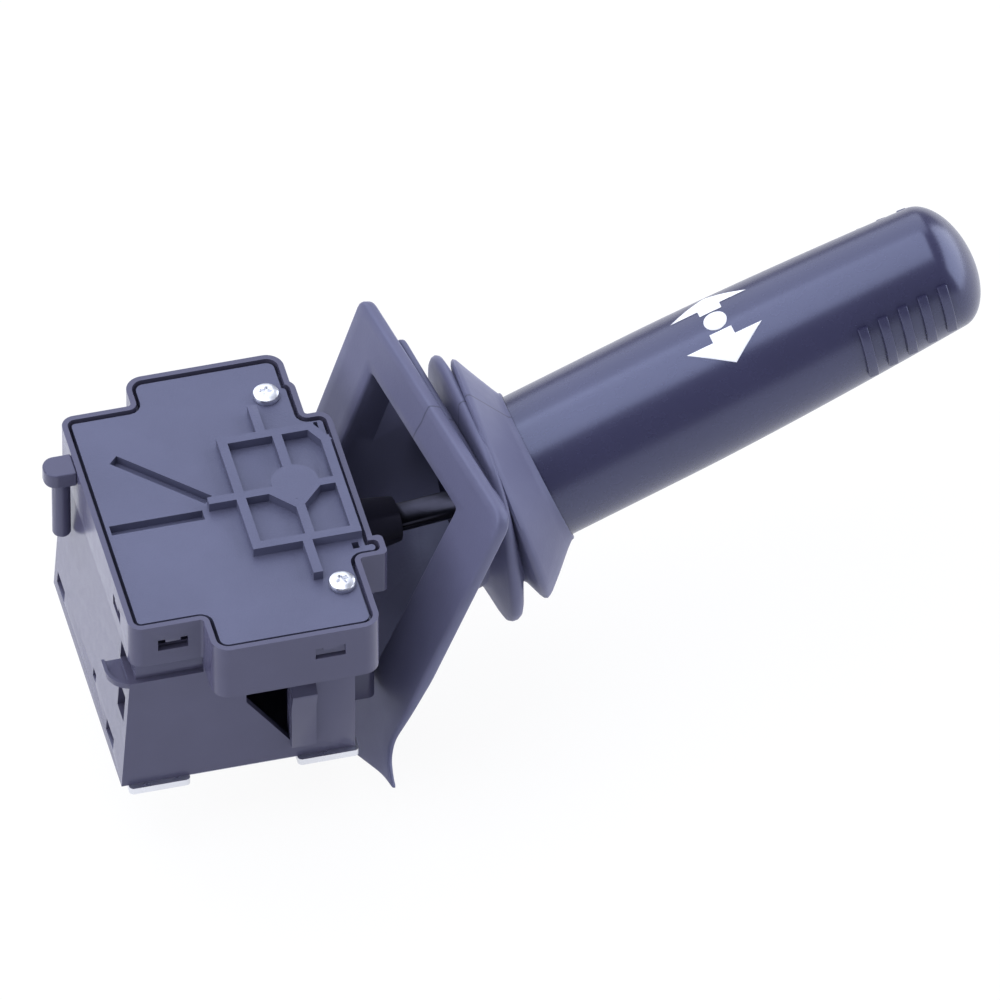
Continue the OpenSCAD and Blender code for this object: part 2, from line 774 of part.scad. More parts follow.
// The band is wider on the front side
FLANGE_OPENING = [
    [flange_up - flange_band, flange_across - flange_band, 2],
    [flange_up - flange_band, -flange_across + flange_band + 5.9, 2],
    [-flange_up + 17, -flange_across + flange_band + 10.5, 10],
    [-flange_up + flange_band, -flange_across + flange_band + 11.9, 2],
    [-flange_up + flange_band, flange_across - flange_band, 2]
];
function lip_edge(inset) = [
    [flange_up - inset, flange_across - inset, 2],
    [flange_up - inset, -flange_across + inset, 2],
    [-flange_up + inset, -flange_across + inset + 3.5, 2],
    [-flange_up + inset, flange_across - inset, 2]
];

function unit(v) = v / norm(v);

// Outline with its corners rounded, turned so that up is local -X
function rounded(corners) = let (n = len(corners), steps = 5)
    [for (i = [0:n - 1]) let (p = flat(corners[i]), r = corners[i][2],
        a = unit(flat(corners[(i + n - 1) % n]) - p), b = unit(flat(corners[(i + 1) % n]) - p),
        half = acos(a * b) / 2, turn = 180 - 2 * half, back = r / tan(half),
        c = p + unit(a + b) * r / sin(half), u = p + a * back - c, v = p + b * back - c)
        for (k = [0:steps]) c + (sin(turn * (1 - k / steps)) * u + sin(turn * k / steps) * v)
            / sin(turn)];

function flat(corner) = [-corner[0], corner[1]];

// Rings of the boot. Each is the centre, turn, lean, half width and squareness
flange_front = flange_t + flange_groove + flange_lip_t;
flange_n = [cos(flange_lean) * cos(flange_yaw), cos(flange_lean) * sin(flange_yaw),
    -sin(flange_lean)];
root_c = lever_point(flange_at) + flange_front * flange_n;
bellows_end = handle_start + 4.2;
OUTER_RINGS = [
    [root_c, flange_yaw, -flange_lean, pleat_r, 6],
    [lever_point(flange_at + 14), flange_yaw - 1, -14, pleat_r - 6, 3.4],
    [lever_point(handle_start - 7), lever_yaw + 1, lever_tilt - 12, pleat_r + 0.8, 2.4],
    [lever_point(handle_start - 4), lever_yaw, lever_tilt - 9, pleat_r - 5.5, 2.2],
    [lever_point(handle_start - 1.6), lever_yaw, lever_tilt - 6, pleat_r - 0.6, 2],
    [lever_point(bellows_end), lever_yaw, lever_tilt, handle_r + 2.6, 2]
];
INNER_RINGS = [
    [lever_point(bellows_end), lever_yaw, lever_tilt, handle_r + 0.7, 2],
    [lever_point(handle_start - 4), lever_yaw, lever_tilt - 9, pleat_r - 7.6, 2.2],
    [lever_point(flange_at + 14), flange_yaw - 1, -14, pleat_r - 8, 3.4],
    [root_c, flange_yaw, -flange_lean, pleat_r - 2.2, 6]
];
ring_sides = 32;

// Signed power, which makes a circle into a rounded square
function spow(v, e) = sign(v) * pow(abs(v), e);

// Points of one ring, in its own leaning plane
function ring_points(g) = let (yaw = g[1], lean = g[2], half = g[3], e = 2 / g[4],
    across = [-sin(yaw), cos(yaw), 0],
    up = [-sin(lean) * cos(yaw), -sin(lean) * sin(yaw), cos(lean)])
    [for (i = [0:ring_sides - 1]) let (a = i * 360 / ring_sides)
        g[0] + half * spow(cos(a), e) * across + half * spow(sin(a), e) * up];

// Closed sleeve through a loop of rings
module ring_sleeve(rings) {
    n = ring_sides;
    m = len(rings);
    points = [for (g = rings) each ring_points(g)];
    faces = [for (j = [0:m - 1], i = [0:n - 1]) let (a = j * n + i,
        b = j * n + (i + 1) % n, k = (j + 1) % m, c = k * n + (i + 1) % n, d = k * n + i)
        each [[a, b, c], [a, c, d]]];
    polyhedron(points, faces);
}

module boot_bellows() {
    color("darkslategray") ring_sleeve(concat(OUTER_RINGS, INNER_RINGS));
}

// Collar of the boot, which grips the handle
module boot_collar() {
    start = bellows_end + pass_gap;
    len = 4;
    r0 = handle_radius(start);
    r1 = handle_radius(start + len);
    color("darkslategray") on_lever(start) rotate_extrude()
        polygon([[r0, 0], [r0 + collar_t + 0.8, 0], [r1 + collar_t, len - 0.4],
            [r1 + collar_t - 0.4, len], [r1, len]]);
}

// Notched arc that the plunger's nose runs along
module detent_cam() {
    cam_z = 2 * tail_half;
    face_r = detent_r + pass_gap;
    notch_r = plunger_nose_r + pass_gap;
    color("whitesmoke") translate([0, 0, floor_z]) difference() {
        translate([-face_r - cam_t, -cam_half, 0])
            cube([cam_t + 3, 2 * cam_half, lever_z - floor_z + cam_z / 2]);
        translate([0, 0, -1]) cylinder(r = face_r, h = 40, $fn = 96);
        for (a = [-swing, 0, swing]) rotate([0, 0, a])
            translate([-detent_r + plunger_nose_r - detent_travel, 0, -1])
                cylinder(r = notch_r, h = 40);
    }
}

module detent_plunger() {
    nose = detent_r - plunger_nose_r;
    color("silver") {
        translate([-bore_bottom - 5, 0, lever_z]) rotate([0, -90, 0])
            cylinder(r = plunger_r, h = nose - bore_bottom - 5);
        translate([-nose, 0, lever_z]) sphere(r = plunger_nose_r);
    }
}

// Coil spring behind the plunger, as a square-section helix
module detent_spring() {
    turns = 5;
    len = 4.8;
    wire = 0.4;
    mean_r = plunger_r - 0.5;
    steps = 10;
    n = turns * steps;
    section = [[-1, -1], [1, -1], [1, 1], [-1, 1]] * wire / 2;
    points = [for (i = [0:n], q = section) let (a = i * 360 / steps, r = mean_r + q[0])
        [-bore_bottom - wire / 2 - 0.05 - (len - wire) * i / n - q[1], r * cos(a),
            lever_z + r * sin(a)]];
    faces = concat([[0, 1, 2, 3]], [[4 * n + 3, 4 * n + 2, 4 * n + 1, 4 * n]],
        [for (i = [0:n - 1], k = [0:3]) let (a = 4 * i + k, b = 4 * i + (k + 1) % 4)
            each [[a, a + 4, b + 4], [a, b + 4, b]]]);
    color("silver") polyhedron(points, faces);
}

// Insulating deck under the cover with two rails for the slider
module contact_base() {
    rail_h = deck_under - slider_bottom + pass_gap + 1.2;
    peg_room = drive_r * sin(swing) + drive_peg_r + 2 * pass_gap;
    color("saddlebrown") difference() {
        union() {
            translate([-deck_left, -deck_half, deck_under])
                cube([deck_left - deck_right, 2 * deck_half, deck_t]);
            for (x = [-deck_left + 1, -deck_right - 1 - rail_w - 0.2])
                for (y = [-deck_half + 3, deck_half - 7])
                    translate([x, y, deck_top - eps]) cube([3, 3, web_under - deck_top + eps]);
            slider_rail(-slider_left - pass_gap, -1, rail_h);
            slider_rail(-slider_right + pass_gap, 1, rail_h);
        }
        cylinder(r = hub_r + 1, h = rim_z);
        // Opening in the lip for the drive peg
        translate([-drive_r - drive_peg_r - 1, -peg_room, deck_under - rail_h - 1])
            cube([2 * drive_peg_r + 2.1, 2 * peg_room, 3]);
    }
}

// Rail at x with a lip under the slider; side gives the way it stands out
module slider_rail(x, side, rail_h) {
    x0 = side < 0 ? x - rail_w : x;
    lip = 1.6;
    translate([x0, -slider_half - 6, deck_under - rail_h])
        cube([rail_w, 2 * slider_half + 12, rail_h]);
    translate([side < 0 ? x - rail_w : x - lip, -slider_half - 6, deck_under - rail_h])
        cube([rail_w + lip, 2 * slider_half + 12, 1.2]);
}

// Slider driven sideways by the yoke's peg
module contact_slider() {
    slot_half = drive_peg_r + run_gap;
    color("ivory") difference() {
        translate([-slider_left, -slider_half, slider_bottom])
            cube([slider_left - slider_right, 2 * slider_half, slider_t]);
        // Slot of the drive peg, open to the right
        translate([-drive_r - drive_peg_r - 0.8, -slot_half, slider_bottom - 1])
            cube([drive_r, 2 * slot_half, slider_t + 2]);
        // Pockets of the contact springs
        for (x = bridge_x) translate([x, 0, slider_bottom + pocket_floor])
            cylinder(r = 1.8, h = slider_t);
    }
}

// Small cone springs in the slider's pockets, drawn as stacked turns
module bridge_springs() {
    color("silver") for (x = bridge_x, i = [0:spring_turns - 1])
        translate([x, 0, spring_z + i * spring_step]) rotate_extrude($fn = 24)
            translate([1.1, 0]) circle(r = spring_wire_r, $fn = 12);
}

// Bridge contacts that ride on the springs
module bridge_contacts() {
    color("goldenrod") for (x = bridge_x) {
        translate([x - strip_w / 2, -slider_half + 1, bridge_z])
            cube([strip_w, 2 * slider_half - 2, contact_t]);
        for (side = [-1, 1]) translate([x, side * (slider_half - 2.2), bridge_z])
            cylinder(r = 1, h = deck_under - contact_t - bridge_z - pass_gap);
    }
}

// Fixed contact strips on the underside of the deck
module fixed_contacts() {
    color("goldenrod") for (x = bridge_x, y = [-slider_half - 5, -3, slider_half - 1])
        translate([x - strip_w / 2, y, deck_under - contact_t]) cube([strip_w, 6, contact_t]);
}

// Blades from the deck down to the connector
module terminal_blades() {
    color("goldenrod") for (i = [0:blade_count - 1])
        translate([shroud_x - blade_span / 2 + i * blade_pitch - blade_w / 2, 0, 0]) {
            translate([0, blade_y, shroud_z - blade_t / 2])
                cube([blade_w, blade_t, deck_under + 1 - shroud_z]);
            translate([0, blade_y, shroud_z - blade_t / 2])
                cube([blade_w, lower_back + shroud_l - 3 - blade_y, blade_t]);
            translate([0, deck_half, deck_under])
                cube([blade_w, blade_y + blade_t - deck_half, blade_t]);
        }
}

// Open socket round the blades
module connector_shroud() {
    color("dimgray") translate([shroud_x, lower_back, shroud_z]) difference() {
        translate([-shroud_w / 2, 0, -shroud_h / 2]) cube([shroud_w, shroud_l, shroud_h]);
        translate([-shroud_w / 2 + shroud_t, shroud_t, -shroud_h / 2 + shroud_t])
            cube([shroud_w - 2 * shroud_t, shroud_l, shroud_h - 2 * shroud_t]);
        for (i = [0:blade_count - 1])
            translate([-blade_span / 2 + i * blade_pitch - blade_w / 2 - 0.05, -1,
                -blade_t / 2 - 0.05]) cube([blade_w + 0.1, shroud_t + 2, blade_t + 0.1]);
        // Keying notch in the upper wall
        translate([-2, shroud_t + 4, shroud_h / 2 - shroud_t - 1]) cube([4, shroud_l, 4]);
    }
}

base_plate();
lower_housing();
upper_housing();
cover_plate();
screw_front();
screw_back();
base_screws();
locating_peg();
pivot_pin();
thrust_washer();
detent_cam();
contact_base();
fixed_contacts();
terminal_blades();
connector_shroud();
boot_flange();
boot_bellows();
boot_collar();
swing_yoke();
lever_shaft();
shaft_pin();
handle();
detent_spring();
detent_plunger();
contact_slider();
bridge_contacts();
bridge_springs();
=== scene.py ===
"""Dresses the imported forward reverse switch: moulded shells with softened edges,
a rubber boot, a round handle with finger ribs and a printed symbol, cover screws
and springs, and a plain studio round them."""

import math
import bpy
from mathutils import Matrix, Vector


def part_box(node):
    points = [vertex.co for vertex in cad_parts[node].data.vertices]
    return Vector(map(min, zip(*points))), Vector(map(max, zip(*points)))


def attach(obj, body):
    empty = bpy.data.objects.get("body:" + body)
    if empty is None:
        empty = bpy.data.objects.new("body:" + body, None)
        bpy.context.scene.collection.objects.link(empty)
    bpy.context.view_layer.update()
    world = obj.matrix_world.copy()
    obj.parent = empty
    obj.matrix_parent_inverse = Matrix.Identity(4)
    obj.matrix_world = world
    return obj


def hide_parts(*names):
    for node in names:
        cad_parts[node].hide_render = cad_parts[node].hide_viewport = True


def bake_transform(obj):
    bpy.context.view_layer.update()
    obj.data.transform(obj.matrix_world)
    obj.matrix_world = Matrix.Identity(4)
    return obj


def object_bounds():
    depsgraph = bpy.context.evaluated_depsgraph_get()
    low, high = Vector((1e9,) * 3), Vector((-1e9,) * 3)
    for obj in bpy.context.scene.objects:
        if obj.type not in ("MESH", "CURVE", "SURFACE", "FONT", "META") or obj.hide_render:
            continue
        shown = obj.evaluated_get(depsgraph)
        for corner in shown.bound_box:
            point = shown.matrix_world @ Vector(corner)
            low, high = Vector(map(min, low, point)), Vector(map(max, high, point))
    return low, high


bl_info = {
    "name": "Forward Reverse Switch",
    "version": (1, 0, 0),
    "blender": (4, 5, 0),
    "location": "View3D > Sidebar > Switch",
    "description": "Builds the finished look of the forward reverse switch",
    "category": "Object",
}

import bmesh
import bpy
from mathutils import Matrix, Vector

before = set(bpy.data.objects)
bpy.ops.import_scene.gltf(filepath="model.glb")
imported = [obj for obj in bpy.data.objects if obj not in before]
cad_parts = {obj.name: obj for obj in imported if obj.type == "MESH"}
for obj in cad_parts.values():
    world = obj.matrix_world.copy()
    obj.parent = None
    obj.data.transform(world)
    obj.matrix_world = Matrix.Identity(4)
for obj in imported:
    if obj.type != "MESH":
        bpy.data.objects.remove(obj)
CAD_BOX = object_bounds()

MM = 0.001

# The lever line: turn, rise and the height at which it crosses the pivot
LEVER_YAW = math.radians(6)
LEVER_TILT = math.radians(19)
LEVER_Z = 17 * MM

# The boot flange: turn, lean and the distance along the lever line
FLANGE_YAW = math.radians(10)
FLANGE_LEAN = math.radians(20.5)
FLANGE_AT = 19.5 * MM

# Height of the cover's face, on which the screw heads sit
COVER_Z = 46.1 * MM

# The handle: where its taper starts, and how it sags below the lever line
HANDLE_STRAIGHT = 85 * MM
TAPER_POWER = 1.6
SAG_WAY = Vector((0.294, -0.719, -0.630))
SAG_START = 58 * MM
SAG_AT_START = 0.35 * MM
SAG_SLOPE = 0.0117

# The finger ribs: reach to each side, slant, section, and turn round the handle
RIB_HALF_ANGLE = math.radians(25)
RIB_SLANT = math.radians(9.2)
RIB_WIDTH = 2.2 * MM
RIB_HEIGHT = 1.15 * MM
RIB_TURN = math.radians(-96)

# The arm: its bend on the lever line, the knuckle round the bend, the start of its
# sloping part, the ring of the yoke round the pivot, and the share that stays of its
# thickness
ARM_BEND = 40 * MM
KNUCKLE_REACH = 7.6 * MM
SLOPE_START = 2 * MM
YOKE_RING = 8.05 * MM
SLIM_SHARE = 0.66

# The boot's mould seam, a plane that cuts it: normal, distance and lowest height. Its
# line is strongest inside the first half width and gone outside the second
MOULD_SEAM = ((0.0956, 0.9954, 0), 9.46 * MM, 30 * MM)
SEAM_HALF_WIDTHS = (0.08 * MM, 0.3 * MM)
SEAM_STRENGTH = 0.55
SEAM_COLOUR = (0.01, 0.01, 0.016, 1)

BLUE_GLOSS = (0.66, 0.72, 1.0)
GRAIN_DEPTH = 0.08 * MM

# Edges above the first angle in degrees look sharp, those above the second are rounded
SHARP_ANGLE = 30
ROUNDED_ANGLE = 28


# ---------------------------------------------------------------- settings

class SwitchSizes(bpy.types.PropertyGroup):
    """Sizes of the pieces that are made here"""

    handle_start: bpy.props.FloatProperty(
        name="Handle Start", description="Distance from the pivot to the start of the handle",
        default=0.049, unit="LENGTH", subtype="DISTANCE")
    handle_tip: bpy.props.FloatProperty(
        name="Handle Tip", description="Distance from the pivot to the tip of the handle",
        default=0.1566, unit="LENGTH", subtype="DISTANCE")
    handle_radius: bpy.props.FloatProperty(
        name="Handle Radius", description="Radius of the handle at the boot",
        default=0.01598, unit="LENGTH", subtype="DISTANCE")
    handle_end_radius: bpy.props.FloatProperty(
        name="Handle End Radius", description="Radius of the handle at its outer end",
        default=0.0137, unit="LENGTH", subtype="DISTANCE")
    tip_dome: bpy.props.FloatProperty(
        name="Tip Dome", description="Length of the handle's domed outer end",
        default=0.0082, unit="LENGTH", subtype="DISTANCE")
    grip_count: bpy.props.IntProperty(
        name="Finger Ribs", description="Number of finger ribs on each side", default=5)
    grip_pitch: bpy.props.FloatProperty(
        name="Rib Spacing", description="Spacing of the finger ribs",
        default=0.00466, unit="LENGTH", subtype="DISTANCE")
    grip_last: bpy.props.FloatProperty(
        name="Last Rib", description="Distance from the handle's tip to the outermost rib",
        default=0.0098, unit="LENGTH", subtype="DISTANCE")
    symbol_at: bpy.props.FloatProperty(
        name="Symbol Place", description="Distance from the pivot to the printed symbol",
        default=0.1028, unit="LENGTH", subtype="DISTANCE")
    flange_thickness: bpy.props.FloatProperty(
        name="Flange Thickness", description="Thickness of the boot flange",
        default=0.0028, unit="LENGTH", subtype="DISTANCE")
    flange_groove: bpy.props.FloatProperty(
        name="Flange Groove", description="Width of the groove round the flange",
        default=0.0022, unit="LENGTH", subtype="DISTANCE")
    boot_wall: bpy.props.FloatProperty(
        name="Boot Wall", description="Wall of the rubber boot",
        default=0.0014, unit="LENGTH", subtype="DISTANCE")
    screw_head: bpy.props.FloatProperty(
        name="Screw Head", description="Radius of the cover screws' heads",
        default=0.00285, unit="LENGTH", subtype="DISTANCE")
    edge_round: bpy.props.FloatProperty(
        name="Moulded Edge", description="Rounding of the moulded edges",
        default=0.0004, unit="LENGTH", subtype="DISTANCE")


class SwitchColours(bpy.types.PropertyGroup):
    """Colours of the finishes"""

    housing: bpy.props.FloatVectorProperty(
        name="Housing", description="Colour of the moulded shells", size=3,
        subtype="COLOR", default=(0.070, 0.066, 0.104))
    cover: bpy.props.FloatVectorProperty(
        name="Cover Plate", description="Colour of the cover plate", size=3,
        subtype="COLOR", default=(0.082, 0.084, 0.135))
    handle: bpy.props.FloatVectorProperty(
        name="Handle", description="Colour of the handle", size=3,
        subtype="COLOR", default=(0.028, 0.026, 0.060))
    rubber: bpy.props.FloatVectorProperty(
        name="Rubber", description="Colour of the boot", size=3,
        subtype="COLOR", default=(0.106, 0.106, 0.170))
    symbol: bpy.props.FloatVectorProperty(
        name="Symbol", description="Colour of the printed symbol", size=3,
        subtype="COLOR", default=(0.86, 0.86, 0.88))
    steel: bpy.props.FloatVectorProperty(
        name="Steel", description="Colour of the zinc plated steel", size=3,
        subtype="COLOR", default=(0.74, 0.75, 0.79))
    # The arm's dark colour is partly its black finish and partly painted shade. It is darkened to
    # the dim look of the arm inside the boot.
    black_steel: bpy.props.FloatVectorProperty(
        name="Black Steel", description="Colour of the arm and its pin", size=3,
        subtype="COLOR", default=(0.042, 0.042, 0.06))
    light_plastic: bpy.props.FloatVectorProperty(
        name="Light Plastic", description="Colour of the inner moulded parts", size=3,
        subtype="COLOR", default=(0.72, 0.70, 0.64))
    brass: bpy.props.FloatVectorProperty(
        name="Brass", description="Colour of the contacts", size=3,
        subtype="COLOR", default=(0.80, 0.58, 0.26))
    laminate: bpy.props.FloatVectorProperty(
        name="Laminate", description="Colour of the contact deck", size=3,
        subtype="COLOR", default=(0.20, 0.09, 0.035))


def sizes():
    return bpy.context.scene.switch_sizes


def colours():
    return bpy.context.scene.switch_colours


# ---------------------------------------------------------------- node helpers

def link(tree, source, target):
    tree.links.new(source, target)


def math_node(tree, operation, a, b=0):
    """The result of one sum; a and b are numbers or sockets."""
    node = tree.nodes.new("ShaderNodeMath")
    node.operation = operation
    for socket, value in zip(node.inputs, (a, b)):
        if isinstance(value, (int, float)):
            socket.default_value = value
        else:
            link(tree, value, socket)
    return node.outputs[0]


def map_range(tree, value, limits, smooth_step=False):
    """Maps a value from the first two limits to the last two."""
    node = tree.nodes.new("ShaderNodeMapRange")
    if smooth_step:
        node.interpolation_type = "SMOOTHSTEP"
    for name, limit in zip(("From Min", "From Max", "To Min", "To Max"), limits):
        node.inputs[name].default_value = limit
    link(tree, value, node.inputs["Value"])
    return node.outputs["Result"]


def noise(tree, place, scale, detail):
    """A cloudy pattern on the object's own coordinates."""
    node = tree.nodes.new("ShaderNodeTexNoise")
    node.inputs["Scale"].default_value = scale
    node.inputs["Detail"].default_value = detail
    link(tree, place, node.inputs["Vector"])
    return node.outputs["Fac"]


# ---------------------------------------------------------------- materials

def seam_line(tree, place, colour, seam):
    """Darkens a colour in a thin line where a plane cuts the surface."""
    normal, distance, lowest = seam
    across = tree.nodes.new("ShaderNodeVectorMath")
    across.operation = "DOT_PRODUCT"
    across.inputs[1].default_value = normal
    link(tree, place, across.inputs[0])
    off = math_node(tree, "SUBTRACT", across.outputs["Value"], distance)
    line = map_range(tree, math_node(tree, "ABSOLUTE", off),
                     (*SEAM_HALF_WIDTHS, SEAM_STRENGTH, 0.0), smooth_step=True)
    height = tree.nodes.new("ShaderNodeSeparateXYZ")
    link(tree, place, height.inputs[0])
    upper = math_node(tree, "GREATER_THAN", height.outputs["Z"], lowest)
    darker = tree.nodes.new("ShaderNodeMix")
    darker.data_type = "RGBA"
    # Sockets 0, 6 and 7 of a colour mix are its factor and its two colours
    link(tree, math_node(tree, "MULTIPLY", line, upper), darker.inputs[0])
    link(tree, colour, darker.inputs[6])
    darker.inputs[7].default_value = SEAM_COLOUR
    return darker.outputs[2]


def surface(name, colour, rough, rough_spread=0.08, tone=0.12, tone_scale=60.0,
            grain=0.0, grain_scale=3000.0, metallic=0.0, specular=0.5, tint=(1, 1, 1),
            sheen=0.0, seam=None):
    """A finish with a slow change of tone, a change of gloss and a fine surface grain.
    A seam is a plane that leaves a thin line: its normal, distance and lowest height."""
    mat = bpy.data.materials.get(name)
    if mat:
        return mat
    mat = bpy.data.materials.new(name)
    mat.use_nodes = True
    tree = mat.node_tree
    shader = tree.nodes["Principled BSDF"]
    for socket, value in (("Metallic", metallic), ("Specular IOR Level", specular),
                          ("Specular Tint", (*tint, 1)), ("Sheen Weight", sheen),
                          ("Sheen Roughness", 0.35), ("Sheen Tint", (0.55, 0.55, 1, 1))):
        shader.inputs[socket].default_value = value
    place = tree.nodes.new("ShaderNodeTexCoord").outputs["Object"]

    ramp = tree.nodes.new("ShaderNodeValToRGB")
    for k, (position, share) in enumerate(((0.3, 1 - tone), (0.7, 1 + tone))):
        element = ramp.color_ramp.elements[k]
        element.position = position
        element.color = [min(c * share, 1) for c in colour] + [1]
    link(tree, noise(tree, place, tone_scale, 4), ramp.inputs["Fac"])
    colour_out = ramp.outputs["Color"]
    if seam:
        colour_out = seam_line(tree, place, colour_out, seam)
    link(tree, colour_out, shader.inputs["Base Color"])

    gloss = noise(tree, place, tone_scale * 6, 6)
    half = rough_spread / 2
    link(tree, map_range(tree, gloss, (0.3, 0.7, rough - half, rough + half)),
         shader.inputs["Roughness"])

    if grain:
        bump = tree.nodes.new("ShaderNodeBump")
        bump.inputs["Strength"].default_value = grain
        bump.inputs["Distance"].default_value = GRAIN_DEPTH
        link(tree, noise(tree, place, grain_scale, 3), bump.inputs["Height"])
        link(tree, bump.outputs["Normal"], shader.inputs["Normal"])
    return mat


def housing_plastic():
    return surface("Moulded Housing", colours().housing, 0.24, 0.05, tone=0.05,
                   grain=0.05, grain_scale=1600, tint=BLUE_GLOSS, sheen=0.12)


def cover_texture():
    return surface("Textured Cover", colours().cover, 0.42, 0.08, tone=0.06, grain=0.6,
                   grain_scale=2200, tint=BLUE_GLOSS)


def handle_gloss():
    return surface("Glossy Handle", colours().handle, 0.27, 0.03, tone=0.05, grain=0.03,
                   grain_scale=700, specular=1.0, tint=BLUE_GLOSS)


def boot_rubber():
    return surface("Boot Rubber", colours().rubber, 0.46, 0.08, tone=0.06, tone_scale=40,
                   grain=0.35, grain_scale=1500, tint=BLUE_GLOSS, sheen=0.1,
                   seam=MOULD_SEAM)


# The yoke's near-black colour is painted shade for the dark inside of the boot round the hub. It
# is darker than the housing plastic that the yoke is made of.
def inner_painted_shade():
    return surface("Inner Black", (0.016, 0.015, 0.026), 0.55, tone=0.1, grain=0.3,
                   grain_scale=1800, specular=0.25)


# Dark steel: partly the arm's black finish and partly painted shade, darkened to the dim arm
# inside the boot.
def black_steel():
    return surface("Black Steel", colours().black_steel, 0.38, 0.1, tone=0.15, grain=0.3,
                   grain_scale=1100, metallic=1.0)


def symbol_print():
    return surface("Symbol Print", colours().symbol, 0.45, tone=0.03, grain=0.2)


def zinc_steel():
    return surface("Zinc Steel", colours().steel, 0.32, 0.14, tone=0.06, grain=0.3,
                   grain_scale=1200, metallic=1.0)


def light_plastic():
    return surface("Light Plastic", colours().light_plastic, 0.42, tone=0.05, grain=0.2)


def contact_brass():
    return surface("Contact Brass", colours().brass, 0.3, 0.12, tone=0.1, metallic=1.0,
                   grain=0.2, grain_scale=1400)


def deck_laminate():
    return surface("Deck Laminate", colours().laminate, 0.4, tone=0.25, tone_scale=220,
                   grain=0.3)


def paint(obj, mat):
    """Gives the whole object one finish."""
    if obj.material_slots:
        for slot in obj.material_slots:
            slot.material = mat
    else:
        obj.data.materials.append(mat)


# ---------------------------------------------------------------- mesh helpers

def lever_matrix(s):
    """Frame on the lever line: Z along the line, X downwards, Y to the back."""
    turn = Matrix.Rotation(LEVER_YAW, 4, "Z") @ Matrix.Rotation(
        math.pi / 2 - LEVER_TILT, 4, "Y")
    return Matrix.Translation(lever_point(s)) @ turn


def lever_point(s):
    """The point of the lever line at a distance from the pivot."""
    flat = s * math.cos(LEVER_TILT)
    return Vector((flat * math.cos(LEVER_YAW), flat * math.sin(LEVER_YAW),
                   LEVER_Z + s * math.sin(LEVER_TILT)))


def handle_radius_at(s):
    """Radius of the handle: straight at the boot, then more and more tapered."""
    z = sizes()
    dome_at = z.handle_tip - z.tip_dome
    part = min(max((s - HANDLE_STRAIGHT) / (dome_at - HANDLE_STRAIGHT), 0), 1)
    return z.handle_radius - (z.handle_radius - z.handle_end_radius) * part ** TAPER_POWER


def handle_matrix(s):
    """The lever frame, with the handle's slight sag towards its tip."""
    sag = SAG_AT_START + max(0, s - SAG_START) * SAG_SLOPE
    return Matrix.Translation(SAG_WAY * sag) @ lever_matrix(s)


def smooth(mesh, sharp_angle=180):
    """Smooth shading, with sharp edges above an angle in degrees."""
    for face in mesh.polygons:
        face.use_smooth = True
    if sharp_angle < 180:
        mesh.set_sharp_from_angle(angle=math.radians(sharp_angle))


def new_piece(name, mesh, mat, sharp_angle=None):
    """An object at the origin with its mesh in the part's frame."""
    obj = bpy.data.objects.new(name, mesh)
    bpy.context.scene.collection.objects.link(obj)
    if mat:
        paint(obj, mat)
    if sharp_angle is not None:
        smooth(mesh, sharp_angle)
    return obj


def mesh_from(bm, name):
    """The finished mesh of the faces drawn so far."""
    mesh = bpy.data.meshes.new(name)
    bm.to_mesh(mesh)
    bm.free()
    return mesh


def circle(radius, steps, height=0):
    """Points of a level circle round Z."""
    turn = 2 * math.pi / steps
    return [(radius * math.cos(turn * i), radius * math.sin(turn * i), height)
            for i in range(steps)]


def skin(rings, closed=False):
    """Faces from ring to ring of points; a ring of one point is a tip."""
    bm = bmesh.new()
    rows = [[bm.verts.new(p) for p in ring] for ring in rings]
    pairs = list(zip(rows, rows[1:]))
    if closed:
        pairs.append((rows[-1], rows[0]))
    for low, high in pairs:
        steps = max(len(low), len(high))
        for i in range(steps):
            j = (i + 1) % steps
            if len(low) == 1:
                bm.faces.new((low[0], high[j], high[i]))
            elif len(high) == 1:
                bm.faces.new((low[i], low[j], high[0]))
            else:
                bm.faces.new((low[i], low[j], high[j], high[i]))
    bmesh.ops.recalc_face_normals(bm, faces=bm.faces)
    return bm


def lathe(profile, steps):
    """A closed solid of revolution round Z from (radius, height) points, start to end
    on the axis."""
    return skin([circle(radius, steps, height) if radius else [(0, 0, height)]
                 for radius, height in profile])


def merged_copy(node):
    """A CAD node's solid with its loose triangles joined."""
    bm = bmesh.new()
    bm.from_mesh(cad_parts[node].data)
    bmesh.ops.remove_doubles(bm, verts=bm.verts, dist=1e-6)
    return bm


def soften(node, name, body, mat, width=None):
    """A copy of a CAD node's solid with rounded moulded edges, in place of the node."""
    bm = merged_copy(node)
    bmesh.ops.dissolve_limit(bm, angle_limit=math.radians(0.6), verts=bm.verts,
                             edges=bm.edges)
    obj = new_piece(name, mesh_from(bm, name), mat, SHARP_ANGLE)
    bevel = obj.modifiers.new("Moulded Edges", "BEVEL")
    bevel.width = width or sizes().edge_round
    bevel.segments = 2
    bevel.limit_method = "ANGLE"
    bevel.angle_limit = math.radians(ROUNDED_ANGLE)
    bevel.use_clamp_overlap = True
    bevel.harden_normals = True
    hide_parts(node)
    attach(obj, body)


def slim_copy(node, name, mat):
    """A copy of a node on the lever's arm, drawn slimmer round the arm's two axes."""
    bm = merged_copy(node)
    bend = lever_point(ARM_BEND)
    level = Vector((math.cos(LEVER_YAW), math.sin(LEVER_YAW), 0))
    slope = (lever_point(1.0) - lever_point(0.0)).normalized()
    for v in bm.verts:
        away = v.co - bend
        reach = Vector((v.co.x, v.co.y, 0)).dot(level)
        if away.length < KNUCKLE_REACH:
            axis = bend
        elif away.dot(slope) > SLOPE_START:
            axis = bend + slope * away.dot(slope)
        elif reach > YOKE_RING:
            axis = bend + level * away.dot(level)
        else:
            continue
        v.co = axis + (v.co - axis) * SLIM_SHARE
    obj = new_piece(name, mesh_from(bm, name), mat, SHARP_ANGLE)
    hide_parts(node)
    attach(obj, "lever")


# ---------------------------------------------------------------- node trees

